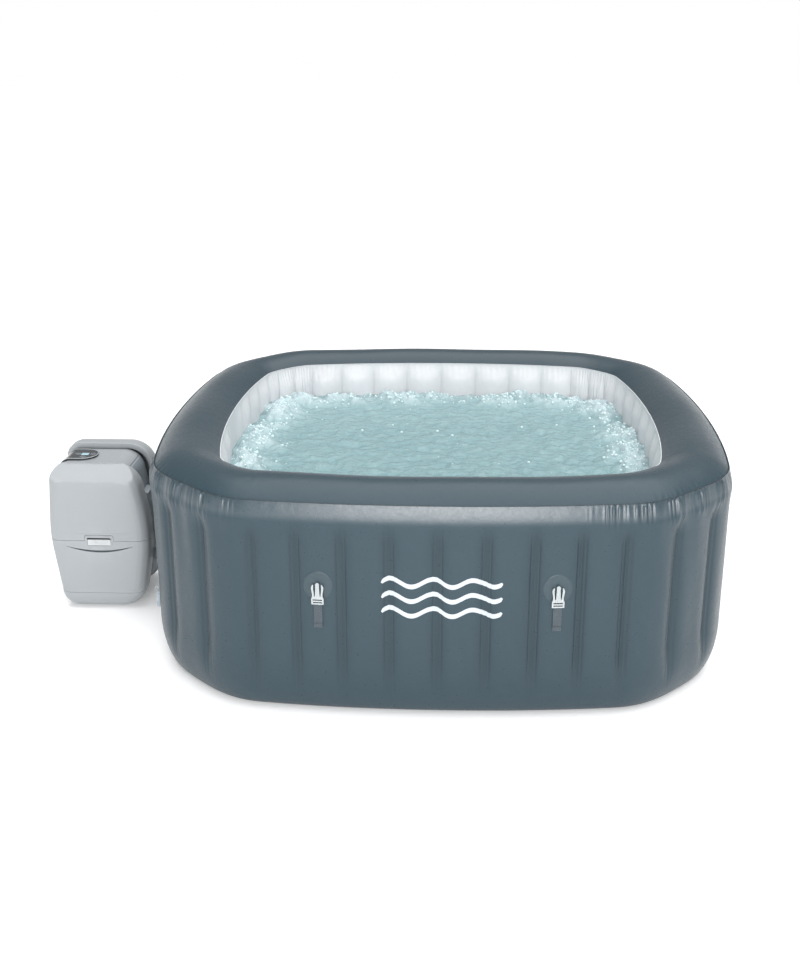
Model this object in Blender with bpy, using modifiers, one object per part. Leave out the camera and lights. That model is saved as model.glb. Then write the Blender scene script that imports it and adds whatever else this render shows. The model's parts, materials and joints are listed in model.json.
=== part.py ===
"""Inflatable hot tub and its pump unit, as an assembly of separate pieces.

Metres, +Z up. The origin is the centre of the tub's underside. The pump stands at -X, and the side
with the two front cover straps faces -Y.
"""
import math

import bmesh
import bpy
from mathutils import Matrix, Vector

# Tub
TUB_HALF = 0.900
TUB_HEIGHT = 0.690
WALL_WIDTH = 0.200
CORNER_RADIUS = 0.364
RIB_PITCH_WANTED = 0.134
RIBS_PER_CORNER = 3
RIB_DEPTH = 0.008
OUTER_BOW = 0.110
FOOT_BOW = 0.095
FOOT_INSET = 0.065
FOOT_HEIGHT = 0.185
SEAM_DROP = 0.045
SEAM_INSET = 0.0125
SHOULDER_HEIGHT = 0.065
INNER_SEAM_DROP = 0.036
SHEET = 0.0015
FLOOR_SHEET = 0.0025
SHEET_GAP = 0.0006
SEAM_CLEARANCE = 0.0003

# Air channel round the floor
CHANNEL_WIDTH = 0.080
CHANNEL_HEIGHT = 0.032

# Webs that tie the two walls together
WEB = 0.0026
BEAM_FOOT = 0.200
BEAM_DROP = 0.140
BEAM_OVERHANG = 0.08

# Cover straps
STRAP_RIB = 2.5
BUCKLE_DROP = 0.333
BUCKLE_WIDTH = 0.035
BUCKLE_LENGTH = 0.064
BUCKLE_THICKNESS = 0.005
BAR = 0.004
SLOT = 0.0035
WEBBING_WIDTH = 0.025
WEBBING = 0.0012
WEBBING_LENGTH = 0.074
STRAP_STAND = 0.0085
STRAP_GAP = 0.0008

# Fittings through the wall
PORT_Y = -0.015
AIR_PORT_Z = 0.135
OUTLET_PORT_Z = 0.235
INLET_PORT_Z = 0.335
PORT_TUBE = 0.022
PORT_BORE = 0.016
PORT_COLLAR = 0.024
COLLAR_LENGTH = 0.025
FLANGE = 0.040
FLANGE_THICKNESS = 0.0035
INNER_FLANGE_GAP = 0.0015
HOLE_CLEARANCE = 0.0006
DRAIN_RIB = 3.5
DRAIN_Z = 0.165
DRAIN_TUBE = 0.0165
AIR_VALVE_RIB = 3.5
AIR_VALVE_DROP = 0.102
VALVE_TUBE = 0.017

# Pump unit
PUMP_GAP = 0.065
PUMP_WIDTH = 0.350
PUMP_HEIGHT = 0.517
PUMP_FOOT = 0.004
PUMP_HALF_DEPTH = 0.166
PUMP_Y = -0.027
OUTER_BARREL = 0.018
FOOT_BARREL = 0.034
TUB_BARREL = 0.045
BULGE_RADIUS = 0.60
FRONT_DROP = 0.0145
TOP_OUTER_RADIUS = 0.050
TOP_TUB_RADIUS = 0.090
FOOT_OUTER_RADIUS = 0.055
FOOT_TUB_RADIUS = 0.085
SHELL = 0.0025
BAND_HALF = 0.082
BAND_RECESS = 0.0205
LIP = 0.019
PORT_RECESS = 0.012
FIT = 0.0005

# Service hatch in the front shell
HATCH_FOOT = 0.060
HATCH_HEIGHT = 0.190
HATCH_DEPTH = 0.061
HATCH_GAP = 0.0005
TONGUE_HALF = 0.049
TONGUE_HEIGHT = 0.020
LATCH_WIDTH = 0.079
LATCH_HEIGHT = 0.021
LATCH_TRAVEL = 0.006
GRIP_WIDTH = 0.236
GRIP_DROP = 0.016
GRIP_HEIGHT = 0.006

# Control panel
PANEL_LENGTH = 0.080
PANEL_WIDTH = 0.105
PANEL_THICKNESS = 0.006
BUTTON_RADIUS = 0.0085
BUTTON_HEIGHT = 0.0035

# Machinery in the casing
MACHINE_FEET = 0.008
MACHINE_WALL = 0.004
MACHINE_GAP = 0.007
VOLUTE_RADIUS = 0.045
VOLUTE_LENGTH = 0.036
VOLUTE_INSET = 0.151
MOTOR_RADIUS = 0.040
BLOWER_RADIUS = 0.058
BLOWER_HALF = 0.036
BLOWER_GAP = 0.010
HEATER_RADIUS = 0.024
HEATER_LENGTH = 0.215
HEATER_INSET = 0.085
BOARD_HEIGHT = 0.110
BOARD_GAP = 0.010

CORNER_CENTRE = TUB_HALF - CORNER_RADIUS
OPENING_HALF = TUB_HALF - WALL_WIDTH
RIBS_PER_SIDE = max(2, round(2 * CORNER_CENTRE / RIB_PITCH_WANTED))
RIB_PITCH = 2 * CORNER_CENTRE / RIBS_PER_SIDE
RIBS_PER_QUARTER = RIBS_PER_SIDE + RIBS_PER_CORNER
RIB_COUNT = 4 * RIBS_PER_QUARTER
EQUATOR_Z = TUB_HEIGHT - SEAM_DROP - SHOULDER_HEIGHT
SEAM_Z = TUB_HEIGHT - SEAM_DROP
INNER_SEAM_Z = TUB_HEIGHT - INNER_SEAM_DROP
SIDES = ("front", "right", "rear", "left")
OUTWARD = (Vector((0, -1, 0)), Vector((1, 0, 0)), Vector((0, 1, 0)), Vector((-1, 0, 0)))


def clear_scene():
    for obj in list(bpy.data.objects):
        bpy.data.objects.remove(obj)


def collection(name):
    made = bpy.data.collections.new(name)
    bpy.context.scene.collection.children.link(made)
    return made


def material(name, color, roughness, metallic=0.0):
    made = bpy.data.materials.new(name)
    made.use_nodes = True
    shader = made.node_tree.nodes["Principled BSDF"]
    shader.inputs["Base Color"].default_value = (*color, 1.0)
    shader.inputs["Roughness"].default_value = roughness
    shader.inputs["Metallic"].default_value = metallic
    return made


def add_object(name, data, finish=None, smooth=False):
    """Link a new object to the parts, or to the cutters when it has no material."""
    obj = bpy.data.objects.new(name, data)
    if finish is None:
        cutters.objects.link(obj)
        obj.hide_render = True
        obj.display_type = "WIRE"
        return obj
    parts.objects.link(obj)
    if not data.materials:
        data.materials.append(finish)
    if smooth:
        data.shade_smooth()
        data.set_sharp_from_angle(angle=math.radians(35))
    return obj


def mesh_from(name, build):
    """A mesh made by build(bm), with its normals pointing out where it is closed."""
    bm = bmesh.new()
    build(bm)
    mesh = bpy.data.meshes.new(name)
    bm.to_mesh(mesh)
    bm.free()
    return mesh


def place(obj, origin, axis=None, up=None):
    """Put obj at origin with its local Z along axis and its local Y as near to up as it can be."""
    if axis is None:
        obj.location = origin
        return obj
    z_axis = axis.normalized()
    if up is None:
        up = Vector((0, 0, 1)) if abs(z_axis.z) < 0.9 else Vector((0, 1, 0))
    x_axis = up.cross(z_axis).normalized()
    y_axis = z_axis.cross(x_axis)
    turn = Matrix((x_axis, y_axis, z_axis)).transposed()
    obj.matrix_world = Matrix.Translation(origin) @ turn.to_4x4()
    return obj


def solidify(obj, thickness):
    modifier = obj.modifiers.new("thickness", "SOLIDIFY")
    modifier.thickness = thickness
    modifier.offset = -1
    modifier.use_even_offset = True
    return obj


def boolean(obj, other, operation="DIFFERENCE"):
    modifier = obj.modifiers.new(operation.lower(), "BOOLEAN")
    modifier.operation = operation
    modifier.object = other
    modifier.solver = "EXACT"
    return obj


def wall_point(station, half, bow=OUTER_BOW):
    """A point of the bowed rounded square, where one station is one rib and 0 starts the front."""
    side, along = divmod(station, RIBS_PER_QUARTER)
    if along <= RIBS_PER_SIDE:
        x = -CORNER_CENTRE + along * RIB_PITCH
        y = -half
    else:
        angle = math.radians(90) * (along - RIBS_PER_SIDE) / RIBS_PER_CORNER
        x = CORNER_CENTRE + (half - CORNER_CENTRE) * math.sin(angle)
        y = -CORNER_CENTRE - (half - CORNER_CENTRE) * math.cos(angle)
    pull = 1 - bow * (min(abs(x), abs(y)) / half) ** 2
    for _ in range(int(side) % 4):
        x, y = -y, x
    return Vector((x * pull, y * pull, 0))


def wall_ring(half, z, bow=OUTER_BOW, per_rib=1, rib_depth=0.0):
    """A level ring round the wall: crests stand at half, and rib_depth takes the valleys in."""
    ring = []
    for step in range(RIB_COUNT * per_rib):
        station = step / per_rib if per_rib > 1 else step + 0.5
        valley = rib_depth if station == int(station) else 0.0
        ring.append(wall_point(station, half - valley, bow) + Vector((0, 0, z)))
    return ring


def side_station(side, rib):
    """The station that stands rib ribs from the middle of a side, counted anticlockwise."""
    return side * RIBS_PER_QUARTER + RIBS_PER_SIDE / 2 + rib


def wall_frame(side, rib, z, half=TUB_HALF):
    """Point and outward direction of the wall at a rib of one side."""
    station = side_station(side, rib)
    point = wall_point(station, half)
    along = wall_point(station + 0.05, half) - wall_point(station - 0.05, half)
    outward = Vector((along.y, -along.x, 0)).normalized()
    return point + Vector((0, 0, z)), outward


def foot_inset(z):
    """How far the wall's foot curves in at height z."""
    if z >= FOOT_HEIGHT:
        return 0.0
    return FOOT_INSET * (1 - math.sqrt(1 - ((FOOT_HEIGHT - z) / FOOT_HEIGHT) ** 2))


def loft(bm, rings, cap_last=False, flip=False):
    """Quads between rings of equal length; anticlockwise rings that rise face outwards."""
    rows = [[bm.verts.new(point) for point in ring] for ring in rings]
    count = len(rings[0])
    for low, high in zip(rows, rows[1:]):
        for i in range(count):
            j = (i + 1) % count
            bm.faces.new((low[i], low[j], high[j], high[i]))
    if cap_last:
        bm.faces.new(rows[-1])
    if flip:
        bmesh.ops.reverse_faces(bm, faces=bm.faces)


def sheet(name, rings, finish, thickness=SHEET, cap_last=False, flip=False):
    mesh = mesh_from(name, lambda bm: loft(bm, rings, cap_last, flip))
    return solidify(add_object(name, mesh, finish, smooth=True), thickness)


def polyline_mesh(name, points, closed):
    mesh = bpy.data.meshes.new(name)
    edges = [(i, i + 1) for i in range(len(points) - 1)]
    if closed:
        edges.append((len(points) - 1, 0))
    mesh.from_pydata(points, edges, [])
    return mesh


def turned(name, profile, finish, origin, axis, steps=16, closed=True):
    """A solid of revolution about axis. profile lists (radius, height) down the outer side."""
    mesh = polyline_mesh(name, [(radius, 0, height) for radius, height in profile], closed)
    obj = add_object(name, mesh, finish)
    screw = obj.modifiers.new("turn", "SCREW")
    screw.steps = steps
    screw.render_steps = steps
    screw.use_merge_vertices = True
    screw.merge_threshold = 0.00001
    screw.use_smooth_shade = False
    return place(obj, origin, axis)


def flat_outline(name, outlines, half_thickness, finish):
    """A plate in the local XY plane; the first outline is its edge and the others are holes."""
    curve = bpy.data.curves.new(name, "CURVE")
    curve.dimensions = "2D"
    curve.fill_mode = "BOTH"
    curve.extrude = half_thickness
    for outline in outlines:
        spline = curve.splines.new("POLY")
        spline.points.add(len(outline) - 1)
        for point, (x, y) in zip(spline.points, outline):
            point.co = (x, y, 0, 1)
        spline.use_cyclic_u = True
    return add_object(name, curve, finish)


def circle(radius, count, x=0.0, y=0.0):
    turns = [2 * math.pi * i / count for i in range(count)]
    return [(x + radius * math.cos(a), y + radius * math.sin(a)) for a in turns]


def box_mesh(name, low, high):
    def build(bm):
        bmesh.ops.create_cube(bm, size=1)
        middle = (Vector(low) + Vector(high)) / 2
        size = Vector(high) - Vector(low)
        bmesh.ops.scale(bm, vec=size, verts=bm.verts)
        bmesh.ops.translate(bm, vec=middle, verts=bm.verts)

    return mesh_from(name, build)


def box(name, low, high, finish=None, bevel=0.0):
    obj = add_object(name, box_mesh(name, low, high), finish)
    if bevel:
        modifier = obj.modifiers.new("edges", "BEVEL")
        modifier.width = bevel
        modifier.segments = 2
    return obj


def prism(name, outline, low, high, to_world, finish=None):
    """An outline in a plane drawn out from low to high; to_world(u, v, depth) places a point."""
    def build(bm):
        near = [bm.verts.new(to_world(u, v, low)) for u, v in outline]
        far = [bm.verts.new(to_world(u, v, high)) for u, v in outline]
        bm.faces.new(near)
        bm.faces.new(far)
        for i in range(len(outline)):
            j = (i + 1) % len(outline)
            bm.faces.new((near[i], near[j], far[j], far[i]))
        bmesh.ops.recalc_face_normals(bm, faces=bm.faces)

    return add_object(name, mesh_from(name, build), finish)


def drill(name, radius, origin, axis, length):
    """A round cutter whose middle is at origin."""
    def build(bm):
        bmesh.ops.create_cone(bm, cap_ends=True, segments=20, radius1=radius, radius2=radius, depth=length)

    return place(add_object(name, mesh_from(name, build)), origin, axis)


# ---------------------------------------------------------------- tub sheets


def outer_wall():
    """The side sheet: curved in at the foot, ribbed up to the shoulder, and in again to the seam."""
    foot_steps = 3
    rings = []
    for i in range(foot_steps):
        z = SHEET + SHEET_GAP + (FOOT_HEIGHT - SHEET - SHEET_GAP) * (1 - math.cos(math.pi / 2 * i / foot_steps))
        bow = FOOT_BOW + (OUTER_BOW - FOOT_BOW) * z / FOOT_HEIGHT
        depth = RIB_DEPTH * i / foot_steps
        rings.append(wall_ring(TUB_HALF - foot_inset(z), z, bow, 2, depth))
    rings.append(wall_ring(TUB_HALF, FOOT_HEIGHT, OUTER_BOW, 2, RIB_DEPTH))
    rings.append(wall_ring(TUB_HALF, EQUATOR_Z - 0.04, OUTER_BOW, 2, RIB_DEPTH))
    rings.append(wall_ring(TUB_HALF, EQUATOR_Z, OUTER_BOW, 2, RIB_DEPTH / 3))
    rings.append(wall_ring(TUB_HALF - SEAM_INSET, SEAM_Z - seam_gap(), OUTER_BOW, 2))
    return sheet("outer_wall", rings, vinyl_grey)


def rim_arc():
    """Chord, radius and half angle of the rim's arched section."""
    chord = TUB_HALF - SEAM_INSET - OPENING_HALF
    rise = (SEAM_DROP + INNER_SEAM_DROP) / 2
    radius = (chord * chord / 4 + rise * rise) / (2 * rise)
    return chord, radius, math.asin(chord / 2 / radius)


def seam_gap():
    """How far a sheet ends below a seam, clear of the rim's own sheet there."""
    reach = rim_arc()[2]
    return SHEET * math.cos(reach) + SEAM_CLEARANCE


def dome(t):
    """Half-size and height of the rim's arched section, from the outer seam at 0 to the inner at 1."""
    chord, radius, reach = rim_arc()
    angle = reach * (1 - 2 * t)
    half = OPENING_HALF + chord / 2 + radius * math.sin(angle)
    base = SEAM_Z + (INNER_SEAM_Z - SEAM_Z) * t
    return half, base + radius * (math.cos(angle) - math.cos(reach))


def top_rim():
    steps = 5
    rings = [wall_ring(half, z) for half, z in (dome(i / steps) for i in range(steps + 1))]
    return sheet("top_rim", rings, vinyl_grey)


def inner_liner():
    foot = SHEET + SHEET_GAP
    rings = [
        wall_ring(OPENING_HALF, z)
        for z in (foot, foot + (INNER_SEAM_Z - foot) / 2, INNER_SEAM_Z - seam_gap() - SHEET)
    ]
    return sheet("inner_liner", rings, vinyl_white, flip=True)


def chamber_base():
    """The ring of sheet under the air chamber."""
    rings = [
        wall_ring(OPENING_HALF, 0, OUTER_BOW),
        wall_ring(TUB_HALF - FOOT_INSET, 0, FOOT_BOW),
    ]
    return sheet("chamber_base", rings, vinyl_grey)


def tub_floor():
    mesh = mesh_from("tub_floor", lambda bm: bm.faces.new(
        [bm.verts.new(point) for point in reversed(wall_ring(OPENING_HALF - SHEET, 0))]))
    return solidify(add_object("tub_floor", mesh, vinyl_white), FLOOR_SHEET)


def bubble_channel():
    """The arched air channel that runs round the floor against the liner."""
    steps = 4
    foot = FLOOR_SHEET + 2 * SHEET_GAP
    outer = OPENING_HALF - SHEET - SHEET_GAP
    rings = []
    for i in range(steps + 1):
        angle = math.pi * i / steps
        half = outer - CHANNEL_WIDTH * (1 - math.cos(angle)) / 2
        rings.append(wall_ring(half, foot + CHANNEL_HEIGHT * math.sin(angle)))
    return sheet("bubble_channel", rings, vinyl_white)


def wall_beams(side, skip):
    """The webs of one quarter of the wall, drawn up from a comb: a weld band with a web at each valley."""
    band = TUB_HALF - RIB_DEPTH - SHEET - SHEET_GAP
    inner = OPENING_HALF + SHEET + SHEET_GAP
    first = side * RIBS_PER_QUARTER
    half_web = WEB / 2 / RIB_PITCH
    outline = [wall_point(first - BEAM_OVERHANG, band)]
    for step in range(2 * RIBS_PER_QUARTER - 1):
        outline.append(wall_point(first + step / 2, band))
    outline.append(wall_point(first + RIBS_PER_QUARTER - 1 + BEAM_OVERHANG, band))
    for rib in reversed(range(RIBS_PER_QUARTER)):
        station = first + rib
        if rib < RIBS_PER_QUARTER - 1:
            outline.append(wall_point(station + 0.5, band - WEB))
        else:
            outline.append(wall_point(station + BEAM_OVERHANG, band - WEB))
        if rib in skip:
            outline.append(wall_point(station, band - WEB))
            continue
        outline.append(wall_point(station + half_web, band - WEB))
        outline.append(wall_point(station + half_web, inner))
        outline.append(wall_point(station - half_web, inner))
        outline.append(wall_point(station - half_web, band - WEB))
    outline.append(wall_point(first - BEAM_OVERHANG, band - WEB))
    return prism("wall_beams_" + SIDES[side], [(p.x, p.y) for p in outline],
                 BEAM_FOOT, TUB_HEIGHT - BEAM_DROP, lambda x, y, z: (x, y, z), vinyl_white)


# ---------------------------------------------------------------- cover straps


def buckle_outlines():
    """Edge of the plug half of a side-release buckle, and its two webbing slots; the origin is its bar."""
    half = BUCKLE_WIDTH / 2
    frame_top = 2.5 * BAR + 2 * SLOT
    foot = -BAR / 2
    top = foot + BUCKLE_LENGTH
    right = [
        (half, foot),
        (half, frame_top),
        (half - 0.0025, frame_top + 0.003),
        (half - 0.002, frame_top + 0.013),
        (half - 0.001, frame_top + 0.020),
        (half - 0.002, top - 0.006),
        (half - 0.007, top - 0.006),
        (half - 0.0055, frame_top + 0.020),
        (half - 0.008, frame_top + 0.011),
        (half - 0.009, frame_top + 0.004),
        (half - 0.011, frame_top + 0.006),
        (half - 0.0125, top - 0.008),
        (half - 0.013, top - 0.001),
        (half - 0.015, top),
    ]
    edge = right + [(-x, y) for x, y in reversed(right)]
    slot_half = WEBBING_WIDTH / 2 + FIT
    slots = []
    for i in range(2):
        low = BAR / 2 + i * (BAR + SLOT)
        slots.append([(-slot_half, low), (slot_half, low), (slot_half, low + SLOT), (-slot_half, low + SLOT)])
    return [edge] + slots


def webbing_outline():
    """Side view of the webbing tail: hooked over the bar at the top, with its end folded double."""
    back = -(BUCKLE_THICKNESS / 2 + STRAP_GAP + WEBBING)
    front = back + WEBBING
    hook_low = BAR / 2 + 0.0017
    hook_high = hook_low + WEBBING
    return [
        (back, -WEBBING_LENGTH),
        (front + WEBBING, -WEBBING_LENGTH),
        (front + WEBBING, -WEBBING_LENGTH + 0.012),
        (front, -WEBBING_LENGTH + 0.0125),
        (front, hook_low),
        (0.0012, hook_low),
        (0.0012, hook_high),
        (back + 0.0006, hook_high),
        (back, hook_high - 0.0008),
    ]


def cover_straps():
    buckle_data = None
    webbing_data = None
    for side, side_name in enumerate(SIDES):
        ends = (SIDES[side - 1], SIDES[(side + 1) % 4])
        for rib, end in ((-STRAP_RIB, ends[0]), (STRAP_RIB, ends[1])):
            point, outward = wall_frame(side, rib, TUB_HEIGHT - BUCKLE_DROP)
            origin = point + outward * STRAP_STAND
            name = side_name + "_" + end
            if buckle_data is None:
                buckle = flat_outline("buckle_" + name, buckle_outlines(), BUCKLE_THICKNESS / 2, buckle_white)
                webbing = flat_outline("webbing_" + name, [webbing_outline()], WEBBING_WIDTH / 2, webbing_grey)
                buckle_data = buckle.data
                webbing_data = webbing.data
            else:
                buckle = add_object("buckle_" + name, buckle_data, buckle_white)
                webbing = add_object("webbing_" + name, webbing_data, webbing_grey)
            place(buckle, origin, outward)
            across = Vector((0, 0, 1)).cross(outward)
            place(webbing, origin, -across)


# ---------------------------------------------------------------- fittings in the wall


def through_fitting(name, z):
    """A flanged tube that carries water or air through both walls, with a collar for its union nut."""
    inner_face = -WALL_WIDTH - INNER_FLANGE_GAP
    profile = [
        (PORT_COLLAR, COLLAR_LENGTH),
        (PORT_COLLAR, FLANGE_THICKNESS + SHEET_GAP),
        (FLANGE, FLANGE_THICKNESS + SHEET_GAP),
        (FLANGE, SHEET_GAP),
        (PORT_TUBE, SHEET_GAP),
        (PORT_TUBE, inner_face),
        (FLANGE, inner_face),
        (FLANGE, inner_face - FLANGE_THICKNESS),
        (PORT_BORE, inner_face - FLANGE_THICKNESS),
        (PORT_BORE, COLLAR_LENGTH),
    ]
    return turned(name, profile, fitting_grey, Vector((-TUB_HALF, PORT_Y, z)), OUTWARD[3])


def inner_face_x():
    return -TUB_HALF + WALL_WIDTH + INNER_FLANGE_GAP + FLANGE_THICKNESS + FIT


def outlet_screen():
    """A slotted dome over the outlet's inner end, drawn here as a plain dome."""
    depth = 0.016
    profile = [
        (0.010, -depth),
        (0.026, -depth + 0.003),
        (0.036, 0),
        (0.033, 0),
        (0.024, -depth + 0.0055),
        (0.010, -depth + 0.0025),
    ]
    return turned("outlet_screen", list(reversed(profile)), filter_white,
                  Vector((inner_face_x(), PORT_Y, OUTLET_PORT_Z)), OUTWARD[3])


def filter_pieces():
    depth = 0.095
    wall = 0.003
    outer = 0.058
    housing = [
        (outer, 0),
        (outer, -depth),
        (outer - wall, -depth),
        (outer - wall, -wall),
        (PORT_BORE, -wall),
        (PORT_BORE, 0),
    ]
    origin = Vector((inner_face_x(), PORT_Y, INLET_PORT_Z))
    turned("filter_housing", housing, filter_white, origin, OUTWARD[3])
    cartridge_outer = outer - wall - FIT
    cartridge = [
        (cartridge_outer, -wall - FIT),
        (cartridge_outer, -depth + wall),
        (0.020, -depth + wall),
        (0.020, -wall - FIT),
    ]
    turned("filter_cartridge", cartridge, filter_white, origin, OUTWARD[3])


def drain_valve():
    """The drain: a flanged tube through the wall, a screw cap on its neck and a moulded tether."""
    origin, outward = wall_frame(3, DRAIN_RIB, DRAIN_Z)
    neck = 0.020
    cap = 0.027
    cap_low = FLANGE_THICKNESS + SHEET_GAP + FIT
    cap_high = cap_low + 0.013
    cap_wall = 0.003
    body = [
        (neck, cap_high - cap_wall - FIT),
        (neck, FLANGE_THICKNESS + SHEET_GAP),
        (0.031, FLANGE_THICKNESS + SHEET_GAP),
        (0.031, SHEET_GAP),
        (DRAIN_TUBE, SHEET_GAP),
        (DRAIN_TUBE, -WALL_WIDTH - 0.004),
        (DRAIN_TUBE - 0.003, -WALL_WIDTH - 0.004),
        (DRAIN_TUBE - 0.003, cap_high - cap_wall - FIT),
    ]
    turned("drain_valve_body", body, fitting_grey, origin, outward)
    lid = [
        (0, cap_high),
        (cap - 0.002, cap_high),
        (cap, cap_high - 0.002),
        (cap, cap_low),
        (neck + FIT, cap_low),
        (neck + FIT, cap_high - cap_wall),
        (0, cap_high - cap_wall),
    ]
    turned("drain_cap", lid, fitting_grey, origin, outward, closed=False)
    tether(origin, outward, cap)


def tether(origin, outward, cap):
    """A thin moulded loop that stands off the flange beside the cap."""
    curve = bpy.data.curves.new("drain_tether", "CURVE")
    curve.dimensions = "3D"
    curve.bevel_depth = 0.0011
    curve.bevel_resolution = 1
    curve.use_fill_caps = True
    spline = curve.splines.new("POLY")
    steps = 10
    middle = cap + 0.0085
    spline.points.add(steps)
    for i, point in enumerate(spline.points):
        angle = math.radians(-150 + 300 * i / steps)
        point.co = (0, middle - 0.0065 * math.cos(angle + math.pi), 0.0125 + 0.0065 * math.sin(angle), 1)
    return place(add_object("drain_tether", curve, fitting_grey), origin, outward)


def air_valve():
    """The inflation valve, high on the wall behind the pump, and its screw cap."""
    origin, outward = wall_frame(3, -AIR_VALVE_RIB, TUB_HEIGHT - AIR_VALVE_DROP)
    neck = 0.0205
    cap = 0.0265
    cap_low = FLANGE_THICKNESS + SHEET_GAP + FIT
    cap_high = cap_low + 0.008
    cap_wall = 0.0025
    body = [
        (neck, cap_high - cap_wall - FIT),
        (neck, FLANGE_THICKNESS + SHEET_GAP),
        (0.030, FLANGE_THICKNESS + SHEET_GAP),
        (0.030, SHEET_GAP),
        (VALVE_TUBE, SHEET_GAP),
        (VALVE_TUBE, -0.028),
        (VALVE_TUBE - 0.003, -0.028),
        (VALVE_TUBE - 0.003, cap_high - cap_wall - FIT),
    ]
    turned("air_valve_body", body, fitting_grey, origin, outward)
    lid = [
        (0, cap_high),
        (cap, cap_high),
        (cap, cap_low),
        (neck + FIT, cap_low),
        (neck + FIT, cap_high - cap_wall),
        (0, cap_high - cap_wall),
    ]
    turned("air_valve_cap", lid, fitting_grey, origin, outward, closed=False)


def wall_holes(outer, liner, beams):
    """Cut each wall for the fittings that pass through it."""
    for name, z in (("outlet", OUTLET_PORT_Z), ("inlet", INLET_PORT_Z), ("air", AIR_PORT_Z)):
        middle = Vector((-TUB_HALF + WALL_WIDTH / 2, PORT_Y, z))
        cutter = drill(name + "_hole", PORT_TUBE + HOLE_CLEARANCE, middle, OUTWARD[3], WALL_WIDTH + 0.06)
        for obj in (outer, liner, beams):
            boolean(obj, cutter)
    origin, outward = wall_frame(3, DRAIN_RIB, DRAIN_Z)
    drain = drill("drain_hole", DRAIN_TUBE + HOLE_CLEARANCE, origin - outward * WALL_WIDTH / 2, outward,
                  WALL_WIDTH + 0.06)
    boolean(outer, drain)
    boolean(liner, drain)
    origin, outward = wall_frame(3, -AIR_VALVE_RIB, TUB_HEIGHT - AIR_VALVE_DROP)
    boolean(outer, drill("air_valve_hole", VALVE_TUBE + HOLE_CLEARANCE, origin, outward, 0.06))


# ---------------------------------------------------------------- pump unit


def fillet(corners, inset=0.0, arc_steps=4, side_steps=2):
    """A closed outline from (x, z, radius) corners, each rounded by an arc and moved in by inset.

    The corners run anticlockwise seen from -Y. The arc's centre stays where it is as inset grows.
    """
    outline = []
    for i, (x, z, radius) in enumerate(corners):
        here = Vector((x, z))
        before = (Vector(corners[i - 1][:2]) - here).normalized()
        after = (Vector(corners[(i + 1) % len(corners)][:2]) - here).normalized()
        half_angle = before.angle(after) / 2
        centre = here + (before + after).normalized() * radius / math.sin(half_angle)
        turn = math.pi - 2 * half_angle
        start = here + before * radius / math.tan(half_angle) - centre
        steps = arc_steps if turn > math.radians(45) else side_steps
        for step in range(steps + 1):
            angle = turn * step / steps
            spoke = Vector((
                start.x * math.cos(angle) - start.y * math.sin(angle),
                start.x * math.sin(angle) + start.y * math.cos(angle),
            ))
            outline.append(centre + spoke.normalized() * (radius - inset))
    return outline


def pump_corners(tub_side_in=0.0, top_drop=0.0):
    """Corners of the pump's front view, whose sides bulge at mid-height."""
    outer = pump_outer_x()
    tub_side = pump_tub_x() - tub_side_in
    middle = (PUMP_FOOT + PUMP_HEIGHT) / 2
    top = PUMP_HEIGHT - top_drop
    return [
        (outer + FOOT_BARREL, PUMP_FOOT, FOOT_OUTER_RADIUS),
        (tub_side - TUB_BARREL, PUMP_FOOT, FOOT_TUB_RADIUS),
        (tub_side, middle, BULGE_RADIUS),
        (tub_side - TUB_BARREL, top, TOP_TUB_RADIUS),
        (outer + OUTER_BARREL, top, TOP_OUTER_RADIUS),
        (outer, middle, BULGE_RADIUS),
    ]


def pump_ring(inset, y, corners):
    return [Vector((p.x, y, p.y)) for p in fillet(corners, inset)]


def shell_rings(direction, top_drop):
    """Rings of one half of the casing, from its lip on the centre band out to its flat face."""
    section = [
        (0.003, BAND_HALF),
        (0.000, BAND_HALF + 0.003),
        (0.000, PUMP_HALF_DEPTH - 0.041),
        (0.005, PUMP_HALF_DEPTH - 0.021),
        (0.018, PUMP_HALF_DEPTH - 0.007),
        (0.045, PUMP_HALF_DEPTH),
    ]
    corners = pump_corners(top_drop=top_drop)
    rings = [pump_ring(LIP, PUMP_Y + direction * BAND_HALF, pump_corners())]
    return rings + [pump_ring(inset, PUMP_Y + direction * out, corners) for inset, out in section]


def hatch_zone(name, grow):
    """The space of the hatch: forward of HATCH_DEPTH, under an arc about its hinge, plus the latch tongue."""
    face = PUMP_Y - PUMP_HALF_DEPTH
    hinge_y, hinge_z = hatch_hinge()
    back = face + HATCH_DEPTH + grow
    low = hinge_z - grow
    radius = HATCH_HEIGHT + grow
    end = math.asin((back - hinge_y) / radius)
    arc = []
    steps = 4
    for i in range(steps + 1):
        angle = end * (1 - i / steps)
        arc.append((hinge_y + radius * math.sin(angle), hinge_z + radius * math.cos(angle)))
    outline = [(back, low)] + arc + [(face - 0.03, hinge_z + radius), (face - 0.03, low)]
    reach = PUMP_WIDTH / 2 + 0.02
    middle = pump_middle_x()
    zone = prism(name, outline, middle - reach, middle + reach, lambda y, z, x: (x, y, z))
    tongue = box(
        name + "_tongue",
        (middle - TONGUE_HALF - grow, face - 0.02, hinge_z + HATCH_HEIGHT - 0.02),
        (middle + TONGUE_HALF + grow, face + SHELL + 0.004, hinge_z + HATCH_HEIGHT + TONGUE_HEIGHT + grow),
    )
    return boolean(zone, tongue, "UNION")


def hatch_hinge():
    """The hatch's hinge line, just proud of the front face at the hatch's lower edge."""
    return PUMP_Y - PUMP_HALF_DEPTH - 2 * FIT, HATCH_FOOT


def pump_tub_x():
    return -(TUB_HALF + PUMP_GAP)


def pump_outer_x():
    return pump_tub_x() - PUMP_WIDTH


def pump_middle_x():
    return pump_tub_x() - PUMP_WIDTH / 2


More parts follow.
